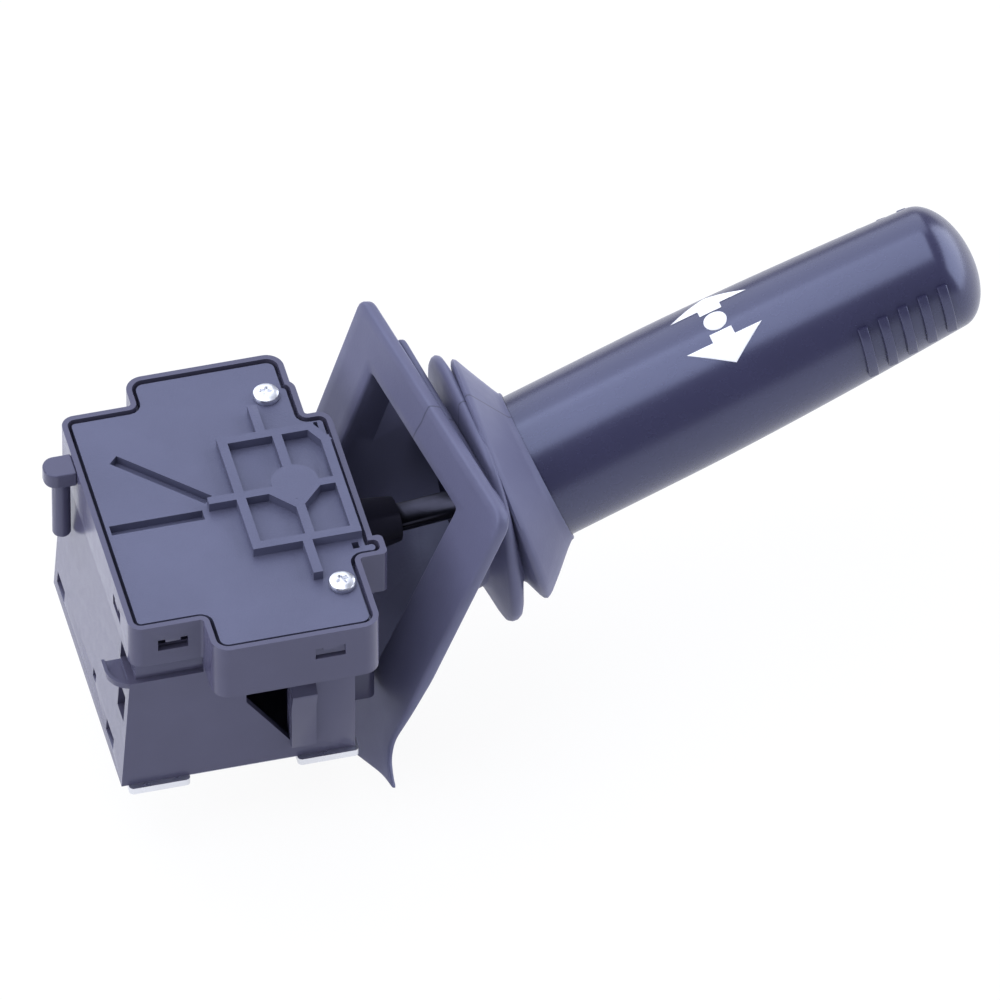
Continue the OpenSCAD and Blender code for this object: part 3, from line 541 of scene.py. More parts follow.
def new_tree(name, inputs):
    """A geometry tree with one geometry input, named inputs and one geometry output."""
    tree = bpy.data.node_groups.new(name, "GeometryNodeTree")
    tree.interface.new_socket("Geometry", in_out="INPUT", socket_type="NodeSocketGeometry")
    for label, kind, default in inputs:
        socket = tree.interface.new_socket(label, in_out="INPUT", socket_type=kind)
        if default is not None:
            socket.default_value = default
    tree.interface.new_socket("Geometry", in_out="OUTPUT", socket_type="NodeSocketGeometry")
    start = tree.nodes.new("NodeGroupInput")
    end = tree.nodes.new("NodeGroupOutput")
    return tree, start, end


def run_tree(obj, tree, values):
    """Runs a tree on an object and keeps the result as a plain mesh."""
    modifier = obj.modifiers.new(tree.name, "NODES")
    modifier.node_group = tree
    for item in tree.interface.items_tree:
        if item.item_type == "SOCKET" and item.in_out == "INPUT" and item.name in values:
            modifier[item.identifier] = values[item.name]
    graph = bpy.context.evaluated_depsgraph_get()
    mesh = bpy.data.meshes.new_from_object(obj.evaluated_get(graph))
    obj.modifiers.remove(modifier)
    mesh.name = obj.name
    obj.data = mesh


def finish_tree(tree, end, geometry, material):
    """Ends a tree in real geometry with its material."""
    real = tree.nodes.new("GeometryNodeRealizeInstances")
    paint_node = tree.nodes.new("GeometryNodeSetMaterial")
    link(tree, geometry, real.inputs[0])
    link(tree, real.outputs[0], paint_node.inputs["Geometry"])
    link(tree, material, paint_node.inputs["Material"])
    link(tree, paint_node.outputs[0], end.inputs[0])


def place_mesh(obj, matrix):
    """Applies a place to the mesh, so that the object stays at the origin."""
    obj.data.transform(matrix)
    obj.data.update()


# ---------------------------------------------------------------- the boot

def flange_axes():
    """The flange's own axes: out of its back face, up, and to the back."""
    normal = Vector((math.cos(FLANGE_LEAN) * math.cos(FLANGE_YAW),
                     math.cos(FLANGE_LEAN) * math.sin(FLANGE_YAW), -math.sin(FLANGE_LEAN)))
    up = Vector((math.sin(FLANGE_LEAN) * math.cos(FLANGE_YAW),
                 math.sin(FLANGE_LEAN) * math.sin(FLANGE_YAW), math.cos(FLANGE_LEAN)))
    across = Vector((-math.sin(FLANGE_YAW), math.cos(FLANGE_YAW), 0))
    return normal, up, across


# Corners in the flange's plane, in mm: height, distance to the back, rounding.
# The lists go the same way round and their corners belong together.
FLANGE_OUTER = [(35.4, 38, 2.6), (36.2, -34.8, 4.5), (-22, -29.8, 3), (-29.4, -28.6, 2.5),
                (-33, -30.4, 1.5), (-36.2, -35.6, 0.6), (-36.6, -30.8, 3.5), (-42, -15.5, 1.5),
                (-36, 36.5, 3)]
FLANGE_INNER = [(25.8, 24.8, 1.2), (25.9, -18.8, 1.2), (-19, -14.2, 1.2), (-25, -13.6, 1.2),
                (-27.5, -13.3, 0.8), (-29.2, -13.1, 0.6), (-30.6, -11.5, 0.8),
                (-31, -6, 1.5), (-26.2, 24.7, 1.5)]
FLANGE_LIP = [(33.4, 27.6, 2), (32.2, -29.2, 4), (-14, -24.4, 3), (-21, -23.4, 2.5),
              (-25, -21.6, 2), (-28.6, -18.8, 2), (-31.4, -15.6, 2), (-33, -11, 2),
              (-32.6, 27.6, 2)]
EDGE_STEPS = [26, 22, 5, 3, 3, 3, 6, 20, 24]
ARC_STEPS = 4

# Rings of the pleats and the cone: distance along the lever line and half width in mm,
# lean and turn in degrees, squareness (2 is round), and shift up and back in mm
PLEATS = [
    (33.0, 19.6, -15, 8, 3.0, 1.4), (36.0, 18.6, -7, 7, 2.5, 1.7),
    (38.9, 18.6, 0, 6, 2.3, 1.6), (39.7, 19.8, 2.2, 5.6, 2.2, 1.5),
    (40.9, 23.8, 4.4, 5.2, 3.2, 1.5), (41.2, 24.8, 4.8, 5.2, 3.2, 1.5),
    (41.8, 25.2, 5.2, 5.2, 3.2, 1.5), (42.6, 25.3, 5.6, 5.2, 3.2, 1.5),
    (43.4, 24.9, 6.0, 5.2, 3.2, 1.5), (43.9, 24.2, 6.4, 5.1, 3.0, 1.45),
    (45.0, 22.4, 8.6, 4.2, 2.1, 1.3), (45.5, 21.3, 10.0, 3.7, 2.1, 1.2),
    (46.0, 21.9, 11.4, 3.2, 2.1, 1.1), (47.0, 25.3, 14.2, 2.4, 2.05, 0.9),
    (47.5, 26.2, 15.0, 2.0, 2.05, 0.85), (48.1, 26.5, 15.2, 2.0, 2.05, 0.85),
    (48.8, 26.3, 15.4, 2.1, 2.0, 0.8), (49.4, 25.6, 15.7, 2.4, 2.0, 0.7),
    (51.5, 22.8, 16.8, 3.4, 2.0, 0.5), (54.6, 18.5, 18.6, 4.6, 2.0, 0.0)]
# The collar's edge: the same, with its gap to the handle in place of the half width
COLLAR = [
    (55.7, 1.1, 19.4, 5.0, 2.0, -0.3), (56.1, 1.0, 19.6, 5.0, 2.0, -0.3),
    (56.3, 0.75, 19.8, 5.0, 2.0, -0.3), (56.1, 0.4, 19.8, 5.0, 2.0, -0.3),
    (53.6, 0.35, 19.0, 5.0, 2.0, -0.3)]
# The inside of the pleats, back to the flange
PLEATS_INSIDE = [
    (48.0, 24.4, 15.0, 2.4, 2.05, 0.85), (45.6, 19.8, 10.0, 3.7, 2.1, 1.2),
    (42.5, 23.6, 5.6, 5.2, 3.0, 1.5), (39.4, 17.9, 0, 6, 2.3, 1.5),
    (36.0, 18.3, -7, 7, 2.6, 1.5), (33.2, 19.4, -14, 8, 3.2, 1.2)]

# The opening's middle and the tail, in the flange's plane in mm. The flange thins out to
# a share of its thickness over the tail's reach
OPENING_MIDDLE = Vector((-1.5, 4.0))
TAIL = Vector((-35, -34))
TAIL_REACH = 24
TAIL_SHARE = 0.3
LIP_THICKNESS = 1.6


def outline(corners):
    """Points round an outline with rounded corners, always the same number."""
    points = []
    n = len(corners)
    tangents = []
    for k, (x, y, r) in enumerate(corners):
        here = Vector((x, y))
        before = Vector(corners[k - 1][:2])
        after = Vector(corners[(k + 1) % n][:2])
        cut_in = min(r, (before - here).length * 0.45)
        cut_out = min(r, (after - here).length * 0.45)
        tangents.append((here + (before - here).normalized() * cut_in, here,
                         here + (after - here).normalized() * cut_out))
    for k in range(n):
        a, b, c = tangents[k]
        for i in range(ARC_STEPS + 1):
            t = i / ARC_STEPS
            points.append(a * (1 - t) ** 2 + b * 2 * t * (1 - t) + c * t * t)
        following = tangents[(k + 1) % n][0]
        for i in range(1, EDGE_STEPS[k] + 1):
            points.append(c.lerp(following, i / (EDGE_STEPS[k] + 1)))
    return points


def boot_rings():
    """Rings of the boot from the flange's back face to the collar and back inside."""
    z = sizes()
    normal, up, across = flange_axes()
    centre = lever_point(FLANGE_AT)
    outer, lip, inner = outline(FLANGE_OUTER), outline(FLANGE_LIP), outline(FLANGE_INNER)
    angles = [math.atan2(p.x - OPENING_MIDDLE.x, p.y - OPENING_MIDDLE.y) for p in inner]
    t1 = z.flange_thickness / MM
    t2 = t1 + z.flange_groove / MM
    t3 = t2 + LIP_THICKNESS
    wall = z.boot_wall / MM

    def flange_ring(share, height, edge=outer):
        """A ring between an outer outline, share 0, and the opening, share 1."""
        ring = []
        for p, q in zip(edge, inner):
            m = p.lerp(q, share)
            away = min((p - TAIL).length / TAIL_REACH, 1)
            h = height * (TAIL_SHARE + (1 - TAIL_SHARE) * away) if height <= t1 else height
            ring.append(centre + (up * m.x + across * m.y + normal * h) * MM)
        return ring

    def pleat_ring(s, half, lean, yaw, square, shift):
        """A ring round the lever line, with its own lean and its shift up and back."""
        lean, yaw = math.radians(lean), math.radians(yaw)
        side = Vector((-math.sin(yaw), math.cos(yaw), 0))
        rise = Vector((-math.sin(lean) * math.cos(yaw), -math.sin(lean) * math.sin(yaw),
                       math.cos(lean)))
        ring = []
        middle = lever_point(s * MM) + (side + rise) * shift * 0.7 * MM
        for a in angles:
            c, d = abs(math.cos(a)), abs(math.sin(a))
            r = half * (c ** square + d ** square) ** (-1 / square)
            ring.append(middle + (side * math.cos(a) + rise * math.sin(a)) * r * MM)
        return ring

    end = z.handle_radius / MM
    return [
        flange_ring(1.0, 0.7), flange_ring(0.985, 0.2), flange_ring(0.955, 0.0),
        flange_ring(0.75, -0.05), flange_ring(0.5, 0.15), flange_ring(0.25, -0.02),
        flange_ring(0.05, 0.0), flange_ring(0.012, 0.25), flange_ring(0.0, 0.8),
        flange_ring(0.0, t1 - 0.6), flange_ring(0.02, t1 - 0.1), flange_ring(0.05, t1),
        flange_ring(0.25, t1, lip), flange_ring(0.3, t1 + 0.3, lip),
        flange_ring(0.3, t2 - 0.3, lip), flange_ring(0.25, t2, lip),
        flange_ring(0.05, t2, lip), flange_ring(0, t2 + 0.4, lip),
        flange_ring(0, t3 - 0.4, lip), flange_ring(0.05, t3, lip),
        flange_ring(0.6, t3, lip), flange_ring(0.8, t3 + 0.1, lip),
        flange_ring(0.88, t3 + 0.7, lip),
        *(pleat_ring(*row) for row in PLEATS),
        *(pleat_ring(s, end + gap, *rest) for s, gap, *rest in COLLAR),
        pleat_ring(51.0, 20.4 - wall * 0.4, 16.6, 3.4, 2.0, 0.4),
        *(pleat_ring(*row) for row in PLEATS_INSIDE),
        flange_ring(1.02, t3 + 0.5), flange_ring(1.0, t1),
    ]


class SWITCH_OT_boot(bpy.types.Operator):
    """Makes the rubber boot between the box and the handle"""

    bl_idname = "switch.boot"
    bl_label = "Rubber Boot"

    def execute(self, context):
        bm = skin(boot_rings(), closed=True)
        boot = new_piece("rubber_boot", mesh_from(bm, "rubber_boot"), boot_rubber(), 50)
        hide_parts("boot_flange", "boot_bellows", "boot_collar")
        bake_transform(boot)
        return {"FINISHED"}


# ---------------------------------------------------------------- the handle

class SWITCH_OT_handle(bpy.types.Operator):
    """Makes the round handle"""

    bl_idname = "switch.handle"
    bl_label = "Handle"

    def execute(self, context):
        z = sizes()
        dome_at = z.handle_tip - z.tip_dome
        start, edge = z.handle_start, 0.8 * MM
        sides, rings, dome_rings = 144, 40, 24
        profile = [(0, start), (z.handle_radius - edge, start),
                   (z.handle_radius - edge / 4, start + edge / 4),
                   (z.handle_radius, start + edge)]
        for i in range(1, rings + 1):
            s = start + edge + (dome_at - start - edge) * i / rings
            profile.append((handle_radius_at(s), s))
        end_r = handle_radius_at(dome_at)
        for i in range(1, dome_rings):
            a = math.radians(90) * i / dome_rings
            profile.append((end_r * math.cos(a), dome_at + z.tip_dome * math.sin(a)))
        profile.append((0, z.handle_tip))
        bm = lathe(profile, sides)
        for v in bm.verts:
            s = v.co.z
            v.co = handle_matrix(s) @ Vector((v.co.x, v.co.y, 0))
        bmesh.ops.recalc_face_normals(bm, faces=bm.faces)
        handle = new_piece("handle_grip", mesh_from(bm, "handle_grip"), handle_gloss(), 35)
        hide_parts("handle")
        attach(handle, "lever")
        return {"FINISHED"}


class SWITCH_OT_finger_ribs(bpy.types.Operator):
    """Lays the finger ribs along both sides of the handle"""

    bl_idname = "switch.finger_ribs"
    bl_label = "Finger Ribs"

    def execute(self, context):
        z = sizes()
        tree, start, end = new_tree("Finger Ribs", [
            ("Count", "NodeSocketInt", 5), ("Spacing", "NodeSocketFloat", 0.0045),
            ("First Place", "NodeSocketFloat", 0.0), ("Handle Radius", "NodeSocketFloat", 0.015),
            ("Taper", "NodeSocketFloat", 0.0), ("Half Angle", "NodeSocketFloat", 0.44),
            ("Slant", "NodeSocketFloat", 0.16), ("Rib Width", "NodeSocketFloat", 0.002),
            ("Rib Height", "NodeSocketFloat", 0.0007), ("Material", "NodeSocketMaterial", None)])
        make = tree.nodes.new

        # One rib: a short arc round the handle with a flat rounded section
        arc = make("GeometryNodeCurveArc")
        arc.mode = "RADIUS"
        arc.inputs["Resolution"].default_value = 40
        arc.inputs["Radius"].default_value = 1.0
        link(tree, math_node(tree, "MULTIPLY", start.outputs["Half Angle"], -1.0),
             arc.inputs["Start Angle"])
        link(tree, math_node(tree, "MULTIPLY", start.outputs["Half Angle"], 2.0),
             arc.inputs["Sweep Angle"])
        scale_up = make("GeometryNodeTransform")
        whole = make("ShaderNodeCombineXYZ")
        for axis in range(3):
            link(tree, start.outputs["Handle Radius"], whole.inputs[axis])
        link(tree, arc.outputs["Curve"], scale_up.inputs["Geometry"])
        link(tree, whole.outputs[0], scale_up.inputs["Scale"])
        section = make("GeometryNodeCurvePrimitiveQuadrilateral")
        link(tree, math_node(tree, "MULTIPLY", start.outputs["Rib Height"], 2.0),
             section.inputs["Width"])
        link(tree, start.outputs["Rib Width"], section.inputs["Height"])
        flat = make("GeometryNodeFilletCurve")
        flat.mode = "POLY"
        flat.inputs["Count"].default_value = 3
        link(tree, math_node(tree, "MULTIPLY", start.outputs["Rib Height"], 0.3),
             flat.inputs["Radius"])
        link(tree, section.outputs["Curve"], flat.inputs["Curve"])
        along = make("GeometryNodeSplineParameter")
        near_end = math_node(tree, "ABSOLUTE",
                             math_node(tree, "SUBTRACT", along.outputs["Factor"], 0.5))
        radius = make("GeometryNodeSetCurveRadius")
        link(tree, scale_up.outputs[0], radius.inputs["Curve"])
        link(tree, map_range(tree, near_end, (0.5, 0.46, 0.8, 1.0), smooth_step=True),
             radius.inputs["Radius"])
        sweep = make("GeometryNodeCurveToMesh")
        sweep.inputs["Fill Caps"].default_value = True
        link(tree, radius.outputs[0], sweep.inputs["Curve"])
        link(tree, flat.outputs[0], sweep.inputs["Profile Curve"])

        # A row of points along the handle, and one rib on each
        row = make("GeometryNodeMeshLine")
        step = make("ShaderNodeCombineXYZ")
        first = make("ShaderNodeCombineXYZ")
        link(tree, start.outputs["Spacing"], step.inputs[2])
        link(tree, start.outputs["First Place"], first.inputs[2])
        link(tree, start.outputs["Count"], row.inputs["Count"])
        link(tree, first.outputs[0], row.inputs["Start Location"])
        link(tree, step.outputs[0], row.inputs["Offset"])
        index = make("GeometryNodeInputIndex")
        less = math_node(tree, "MULTIPLY", index.outputs[0], start.outputs["Taper"])
        size = math_node(tree, "SUBTRACT", 1.0, less)
        size_vector = make("ShaderNodeCombineXYZ")
        link(tree, size, size_vector.inputs[0])
        link(tree, size, size_vector.inputs[1])
        size_vector.inputs[2].default_value = 1.0
        both = make("GeometryNodeJoinGeometry")
        # The same row once more on the other side, turned and slanted the other way
        for sign, turned in ((-1.0, 0.0), (1.0, math.pi)):
            put = make("GeometryNodeInstanceOnPoints")
            way = make("ShaderNodeCombineXYZ")
            link(tree, math_node(tree, "MULTIPLY", start.outputs["Slant"], sign), way.inputs[0])
            way.inputs[2].default_value = turned
            link(tree, row.outputs[0], put.inputs["Points"])
            link(tree, sweep.outputs[0], put.inputs["Instance"])
            link(tree, way.outputs[0], put.inputs["Rotation"])
            link(tree, size_vector.outputs[0], put.inputs["Scale"])
            link(tree, put.outputs[0], both.inputs[0])
        finish_tree(tree, end, both.outputs[0], start.outputs["Material"])

        first_s = z.handle_tip - z.grip_last - (z.grip_count - 1) * z.grip_pitch
        here = handle_radius_at(first_s)
        ribs = new_piece("finger_ribs", bpy.data.meshes.new("finger_ribs"), None)
        run_tree(ribs, tree, {
            "Count": z.grip_count, "Spacing": z.grip_pitch, "Handle Radius": here,
            "Taper": (here - handle_radius_at(first_s + z.grip_pitch)) / here,
            "Half Angle": RIB_HALF_ANGLE, "Slant": RIB_SLANT, "Rib Width": RIB_WIDTH,
            "Rib Height": RIB_HEIGHT, "Material": handle_gloss()})
        place_mesh(ribs, handle_matrix(first_s) @ Matrix.Rotation(RIB_TURN, 4, "Z"))
        smooth(ribs.data)
        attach(ribs, "lever")
        return {"FINISHED"}


# The printed symbol: the dot, one arrow in mm, and the ink
DOT_RADIUS = 2.5 * MM
ARROW = [(2.9, -2.5), (4.9, -2.5), (4.9, -8.6), (10.75, 0), (4.9, 8.6), (4.9, 2.5),
         (2.9, 2.5)]
INK_TOP = 0.04 * MM
INK_THICKNESS = 0.05 * MM


class SWITCH_OT_symbol(bpy.types.Operator):
    """Prints the two arrows and the dot on top of the handle"""

    bl_idname = "switch.symbol"
    bl_label = "Printed Symbol"

    def execute(self, context):
        z = sizes()
        bm = bmesh.new()

        # X is the distance round the handle and Y the distance along it
        bm.faces.new([bm.verts.new(p) for p in circle(DOT_RADIUS, 48)])
        for side in (1, -1):
            bm.faces.new([bm.verts.new((x * side * MM, y * MM, 0)) for x, y in ARROW])
        bmesh.ops.triangulate(bm, faces=bm.faces)
        for _ in range(5):
            long_edges = [e for e in bm.edges if e.calc_length() > 0.7 * MM]
            if not long_edges:
                break
            bmesh.ops.subdivide_edges(bm, edges=long_edges, cuts=1)
            bmesh.ops.triangulate(bm, faces=bm.faces)
        for v in bm.verts:
            s = z.symbol_at + v.co.y
            r = handle_radius_at(s) + INK_TOP
            a = v.co.x / r
            v.co = handle_matrix(s) @ Vector((-r * math.cos(a), r * math.sin(a), 0))
        axis_point = handle_matrix(z.symbol_at).translation
        axis = lever_point(1.0) - lever_point(0.0)
        for face in bm.faces:
            out = face.calc_center_median() - axis_point
            out -= axis * out.dot(axis)
            if face.normal.dot(out) < 0:
                face.normal_flip()
        print_piece = new_piece("printed_symbol", mesh_from(bm, "printed_symbol"),
                                symbol_print(), 180)
        thick = print_piece.modifiers.new("Ink", "SOLIDIFY")
        thick.thickness = INK_THICKNESS
        thick.offset = -1
        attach(print_piece, "lever")
        return {"FINISHED"}


# ---------------------------------------------------------------- the box

class SWITCH_OT_housing(bpy.types.Operator):
    """Rounds the edges of the moulded shells and gives them their finish"""

    bl_idname = "switch.housing"
    bl_label = "Moulded Housing"

    def execute(self, context):
        soften("upper_housing", "upper_shell", "housing", housing_plastic())
        soften("lower_housing", "lower_shell", "housing", housing_plastic())
        soften("locating_peg", "column_peg", "housing", housing_plastic())
        soften("connector_shroud", "plug_socket", "housing", housing_plastic())
        soften("cover_plate", "ribbed_cover", "housing", cover_texture(), 0.22 * MM)
        return {"FINISHED"}


class SWITCH_OT_inner_parts(bpy.types.Operator):
    """Gives the metal parts and the parts inside the box their finishes"""

    bl_idname = "switch.inner_parts"
    bl_label = "Metal and Inner Parts"

    def execute(self, context):
        finishes = {
            "base_plate": zinc_steel, "base_screws": zinc_steel, "pivot_pin": zinc_steel,
            "detent_plunger": zinc_steel, "thrust_washer": contact_brass,
            "fixed_contacts": contact_brass, "terminal_blades": contact_brass,
            "bridge_contacts": contact_brass, "detent_cam": light_plastic,
            "contact_slider": light_plastic, "contact_base": deck_laminate}
        for node, finish in finishes.items():
            paint(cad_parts[node], finish())
        return {"FINISHED"}


class SWITCH_OT_arm(bpy.types.Operator):
    """Makes the slim arm between the box and the handle"""

    bl_idname = "switch.arm"
    bl_label = "Lever Arm"

    def execute(self, context):
        # The yoke gets near-black painted shade for the dark inside of the boot.
        slim_copy("swing_yoke", "arm_yoke", inner_painted_shade())
        # The arm and its pin get dark steel that is partly painted shade.
        slim_copy("lever_shaft", "bent_arm", black_steel())
        slim_copy("shaft_pin", "arm_pin", black_steel())
        return {"FINISHED"}


class SWITCH_OT_cover_screws(bpy.types.Operator):
    """Sets the two pan head screws in the cover"""

    bl_idname = "switch.cover_screws"
    bl_label = "Cover Screws"

    def execute(self, context):
        head = self.screw_mesh()
        source = bpy.data.objects.new("screw_pattern", head)
        context.scene.collection.objects.link(source)
        tree, start, end = new_tree("Cover Screws", [
            ("Screw", "NodeSocketObject", None), ("Turn", "NodeSocketFloat", 0.3),
            ("Turn Step", "NodeSocketFloat", 0.5), ("Material", "NodeSocketMaterial", None)])
        info = tree.nodes.new("GeometryNodeObjectInfo")
        put = tree.nodes.new("GeometryNodeInstanceOnPoints")
        index = tree.nodes.new("GeometryNodeInputIndex")
        turn = tree.nodes.new("ShaderNodeCombineXYZ")
        step = math_node(tree, "MULTIPLY", index.outputs[0], start.outputs["Turn Step"])
        link(tree, math_node(tree, "ADD", step, start.outputs["Turn"]), turn.inputs[2])
        link(tree, start.outputs["Screw"], info.inputs["Object"])
        link(tree, start.outputs["Geometry"], put.inputs["Points"])
        link(tree, info.outputs["Geometry"], put.inputs["Instance"])
        link(tree, turn.outputs[0], put.inputs["Rotation"])
        finish_tree(tree, end, put.outputs[0], start.outputs["Material"])
        points = bpy.data.meshes.new("cover_screws")
        places = []
        for node in ("screw_front", "screw_back"):
            low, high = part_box(node)
            places.append(((low[0] + high[0]) / 2, (low[1] + high[1]) / 2, COVER_Z))
        points.from_pydata(places, [], [])
        screws = new_piece("cover_screws", points, None)
        run_tree(screws, tree, {"Screw": source, "Turn": 0.35, "Turn Step": 0.9,
                                "Material": zinc_steel()})
        bpy.data.objects.remove(source)
        smooth(screws.data, 38)
        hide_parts("screw_front", "screw_back")
        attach(screws, "housing")
        return {"FINISHED"}

    def screw_mesh(self):
        """Pan head with a cross recess, and its shank, head seat at height 0."""
        r = sizes().screw_head
        crown, cross_half, cross_reach, cross_depth = 1.7 * MM, 0.42 * MM, r * 0.5, 0.55 * MM
        shank, length = 1.5 * MM, 9 * MM
        steps, rings = 96, 22

        def top(x, y):
            z = crown * (1 - 0.30 * (math.hypot(x, y) / r) ** 2.6)
            depth = 0.0
            for u, v in ((x, y), (y, x)):
                wide = min(1, max(0, (cross_half - abs(v)) / (0.14 * MM)))
                long = min(1, max(0, (cross_reach - abs(u)) / (0.35 * MM)))
                depth = max(depth, wide * long)
            return z - depth * cross_depth

        rows = [[(0, 0, top(0, 0))]]
        for k in range(1, rings + 1):
            rows.append([(x, y, top(x, y)) for x, y, _ in
                         circle(r * 0.93 * (k / rings) ** 0.9, steps)])
        for q, h in ((r * 0.985, 1.0 * MM), (r, 0.75 * MM), (r, 0.15 * MM), (r * 0.96, 0),
                     (shank, 0), (shank, -8.4 * MM), (1.0 * MM, -length)):
            rows.append(circle(q, steps, h))
        rows.append([(0, 0, -length)])
        return mesh_from(skin(rows), "screw_pattern")


class SWITCH_OT_springs(bpy.types.Operator):
    """Winds the detent spring and the two contact springs"""

    bl_idname = "switch.springs"
    bl_label = "Springs"

    def execute(self, context):
        tree, start, end = new_tree("Coil Spring", [
            ("Turns", "NodeSocketFloat", 5.0), ("Coil Radius", "NodeSocketFloat", 0.0015),
            ("End Radius", "NodeSocketFloat", 0.0015), ("Length", "NodeSocketFloat", 0.004),
            ("Wire Radius", "NodeSocketFloat", 0.0002), ("Material", "NodeSocketMaterial", None)])
        coil = tree.nodes.new("GeometryNodeCurveSpiral")
        wire = tree.nodes.new("GeometryNodeCurvePrimitiveCircle")
        sweep = tree.nodes.new("GeometryNodeCurveToMesh")
        coil.inputs["Resolution"].default_value = 24
        wire.inputs["Resolution"].default_value = 10
        sweep.inputs["Fill Caps"].default_value = True
        link(tree, start.outputs["Turns"], coil.inputs["Rotations"])
        link(tree, start.outputs["Coil Radius"], coil.inputs["Start Radius"])
        link(tree, start.outputs["End Radius"], coil.inputs["End Radius"])
        link(tree, start.outputs["Length"], coil.inputs["Height"])
        link(tree, start.outputs["Wire Radius"], wire.inputs["Radius"])
        link(tree, coil.outputs[0], sweep.inputs["Curve"])
        link(tree, wire.outputs["Curve"], sweep.inputs["Profile Curve"])
        finish_tree(tree, end, sweep.outputs[0], start.outputs["Material"])

        wire_radius = 0.2 * MM
        low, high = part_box("detent_spring")
        detent = new_piece("plunger_spring", bpy.data.meshes.new("plunger_spring"), None)
        run_tree(detent, tree, {
            "Turns": 5.0, "Coil Radius": 1.5 * MM, "End Radius": 1.5 * MM,
            "Length": high[0] - low[0] - 2 * wire_radius, "Wire Radius": wire_radius,
            "Material": zinc_steel()})
        place = (low[0] + wire_radius, 0, (low[2] + high[2]) / 2)
        place_mesh(detent, Matrix.Translation(place) @ Matrix.Rotation(math.pi / 2, 4, "Y"))
        self.finish(detent, "detent_spring", "lever")

        low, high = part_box("bridge_springs")
        bm = bmesh.new()
        for x in (low[0] + 1.4 * MM, high[0] - 1.4 * MM):
            one = new_piece("contact_spring", bpy.data.meshes.new("contact_spring"), None)
            run_tree(one, tree, {
                "Turns": 4.0, "Coil Radius": 1.3 * MM, "End Radius": 1.0 * MM,
                "Length": high[2] - low[2] - 2.2 * wire_radius, "Wire Radius": wire_radius,
                "Material": zinc_steel()})
            place_mesh(one, Matrix.Translation((x, 0, low[2] + 1.1 * wire_radius)))
            bm.from_mesh(one.data)
            bpy.data.objects.remove(one)
        pair = new_piece("contact_springs", mesh_from(bm, "contact_springs"), zinc_steel())
        self.finish(pair, "bridge_springs", "contact_slider")
        return {"FINISHED"}

    def finish(self, obj, node, body):
        smooth(obj.data)
        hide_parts(node)
        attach(obj, body)


# ---------------------------------------------------------------- the studio

FLOOR_BELOW = 1.5 * MM

# Lamps: place in mm, size in m and power in W
LAMPS = (("top_light", (-260, 20, 1050), (1.1, 0.9), 8.5),
         ("back_light", (-120, 960, 800), (1.4, 1.2), 8.8),
         ("left_light", (-1000, -160, 560), (0.8, 0.7), 7.5),
         ("right_light", (1150, 120, 400), (1.8, 1.15), 20.0))
LAMPS_AIM = Vector((45, 0, 30)) * MM
LAMP_COLOUR = (0.86, 0.90, 1.0)
ROOM_COLOUR = (0.80, 0.83, 1.0, 1)
ROOM_STRENGTH = 0.34

# The camera: from the object to it, the point it looks at, its distance in m, its lens
CAMERA_WAY = Vector((-0.169, -0.687, 0.706)).normalized()
CAMERA_AIM = Vector((40.69, -12.25, 45.0)) * MM
CAMERA_DISTANCE = 6.211
CAMERA_LENS = 1080


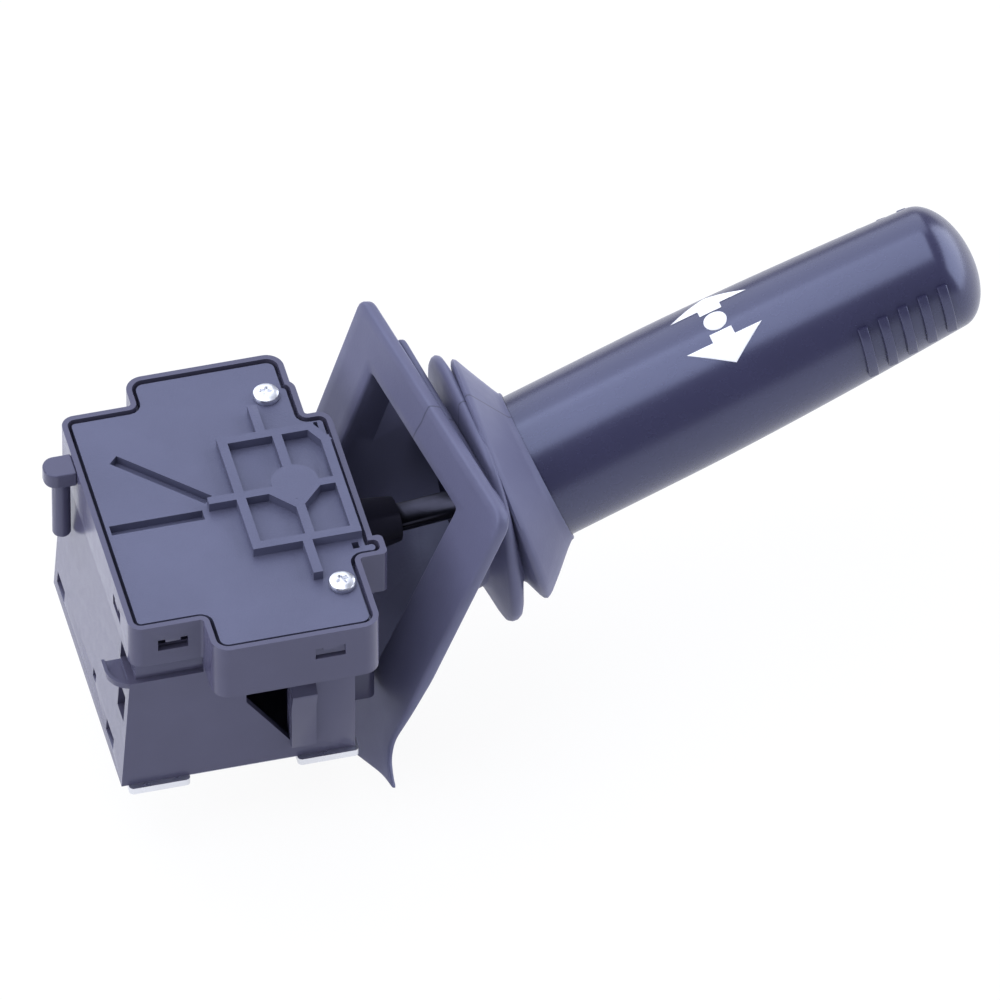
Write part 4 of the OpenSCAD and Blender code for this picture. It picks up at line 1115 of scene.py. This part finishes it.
class SWITCH_OT_stage(bpy.types.Operator):
    """Sets the pale floor, the soft lights and the camera"""

    bl_idname = "switch.stage"
    bl_label = "Studio"

    def execute(self, context):
        self.floor(context)
        self.world(context)
        self.lights(context)
        self.camera(context)
        context.scene.view_settings.view_transform = "Standard"
        return {"FINISHED"}

    def floor(self, context):
        bm = bmesh.new()
        bmesh.ops.create_circle(bm, cap_ends=True, segments=64, radius=3)
        for v in bm.verts:
            v.co.z = CAD_BOX[0][2] - FLOOR_BELOW
        mat = bpy.data.materials.new("Studio Floor")
        mat.use_nodes = True
        tree = mat.node_tree
        diffuse = tree.nodes["Principled BSDF"]
        diffuse.inputs["Base Color"].default_value = (0.9, 0.9, 0.92, 1)
        diffuse.inputs["Roughness"].default_value = 0.9
        glow = tree.nodes.new("ShaderNodeEmission")
        glow.inputs["Color"].default_value = (1, 1, 1, 1)
        path = tree.nodes.new("ShaderNodeLightPath")
        # The camera and glossy surfaces see the floor nearly white, with some shadow left
        straight = math_node(tree, "MULTIPLY", path.outputs["Is Camera Ray"], 0.92)
        mirrored = math_node(tree, "MULTIPLY", path.outputs["Is Glossy Ray"], 0.7)
        mix = tree.nodes.new("ShaderNodeMixShader")
        link(tree, math_node(tree, "MAXIMUM", straight, mirrored), mix.inputs[0])
        link(tree, diffuse.outputs[0], mix.inputs[1])
        link(tree, glow.outputs[0], mix.inputs[2])
        link(tree, mix.outputs[0], tree.nodes["Material Output"].inputs["Surface"])
        floor = new_piece("studio_floor", mesh_from(bm, "studio_floor"), mat)

    def world(self, context):
        world = bpy.data.worlds.new("Studio")
        context.scene.world = world
        world.use_nodes = True
        tree = world.node_tree
        soft = tree.nodes["Background"]
        soft.inputs["Color"].default_value = ROOM_COLOUR
        soft.inputs["Strength"].default_value = ROOM_STRENGTH
        white = tree.nodes.new("ShaderNodeBackground")
        white.inputs["Color"].default_value = (1, 1, 1, 1)
        white.inputs["Strength"].default_value = 1.0
        path = tree.nodes.new("ShaderNodeLightPath")
        mix = tree.nodes.new("ShaderNodeMixShader")
        link(tree, path.outputs["Is Camera Ray"], mix.inputs[0])
        link(tree, soft.outputs[0], mix.inputs[1])
        link(tree, white.outputs[0], mix.inputs[2])
        link(tree, mix.outputs[0], tree.nodes["World Output"].inputs["Surface"])

    def lights(self, context):
        for name, place, size, power in LAMPS:
            data = bpy.data.lights.new(name, "AREA")
            data.shape = "RECTANGLE"
            data.size, data.size_y = size
            data.energy = power
            data.color = LAMP_COLOUR
            lamp = bpy.data.objects.new(name, data)
            lamp.location = Vector(place) * MM
            way = LAMPS_AIM - lamp.location
            lamp.rotation_euler = way.to_track_quat("-Z", "Y").to_euler()
            context.scene.collection.objects.link(lamp)

    def camera(self, context):
        data = bpy.data.cameras.new("photo_camera")
        data.sensor_width = 36
        data.lens = CAMERA_LENS
        data.clip_end = 20
        cam = bpy.data.objects.new("photo_camera", data)
        cam.location = CAMERA_AIM + CAMERA_WAY * CAMERA_DISTANCE
        cam.rotation_euler = CAMERA_WAY.to_track_quat("Z", "Y").to_euler()
        context.scene.collection.objects.link(cam)
        context.scene.camera = cam


# ---------------------------------------------------------------- the panel

class SWITCH_PT_panel(bpy.types.Panel):
    """Lists the steps, sizes and colours of the switch"""

    bl_label = "Forward Reverse Switch"
    bl_idname = "SWITCH_PT_panel"
    bl_space_type = "VIEW_3D"
    bl_region_type = "UI"
    bl_category = "Switch"

    def draw(self, context):
        for step in STEPS:
            self.layout.operator(step.bl_idname)
        for group in (context.scene.switch_sizes, context.scene.switch_colours):
            box = self.layout.box()
            for name in group.bl_rna.properties.keys():
                if name not in ("rna_type", "name"):
                    box.prop(group, name)


STEPS = (SWITCH_OT_stage, SWITCH_OT_housing, SWITCH_OT_inner_parts, SWITCH_OT_arm,
         SWITCH_OT_cover_screws, SWITCH_OT_springs, SWITCH_OT_boot, SWITCH_OT_handle,
         SWITCH_OT_finger_ribs, SWITCH_OT_symbol)
CLASSES = (SwitchSizes, SwitchColours) + STEPS + (SWITCH_PT_panel,)


def register():
    for cls in CLASSES:
        bpy.utils.register_class(cls)
    bpy.types.Scene.switch_sizes = bpy.props.PointerProperty(type=SwitchSizes)
    bpy.types.Scene.switch_colours = bpy.props.PointerProperty(type=SwitchColours)


def unregister():
    del bpy.types.Scene.switch_colours
    del bpy.types.Scene.switch_sizes
    for cls in reversed(CLASSES):
        bpy.utils.unregister_class(cls)


def main():
    register()
    bpy.ops.switch.stage()
    bpy.ops.switch.housing()
    bpy.ops.switch.inner_parts()
    bpy.ops.switch.arm()
    bpy.ops.switch.cover_screws()
    bpy.ops.switch.springs()
    bpy.ops.switch.boot()
    bpy.ops.switch.handle()
    bpy.ops.switch.finger_ribs()
    bpy.ops.switch.symbol()


if __name__ == "__main__":
    main()
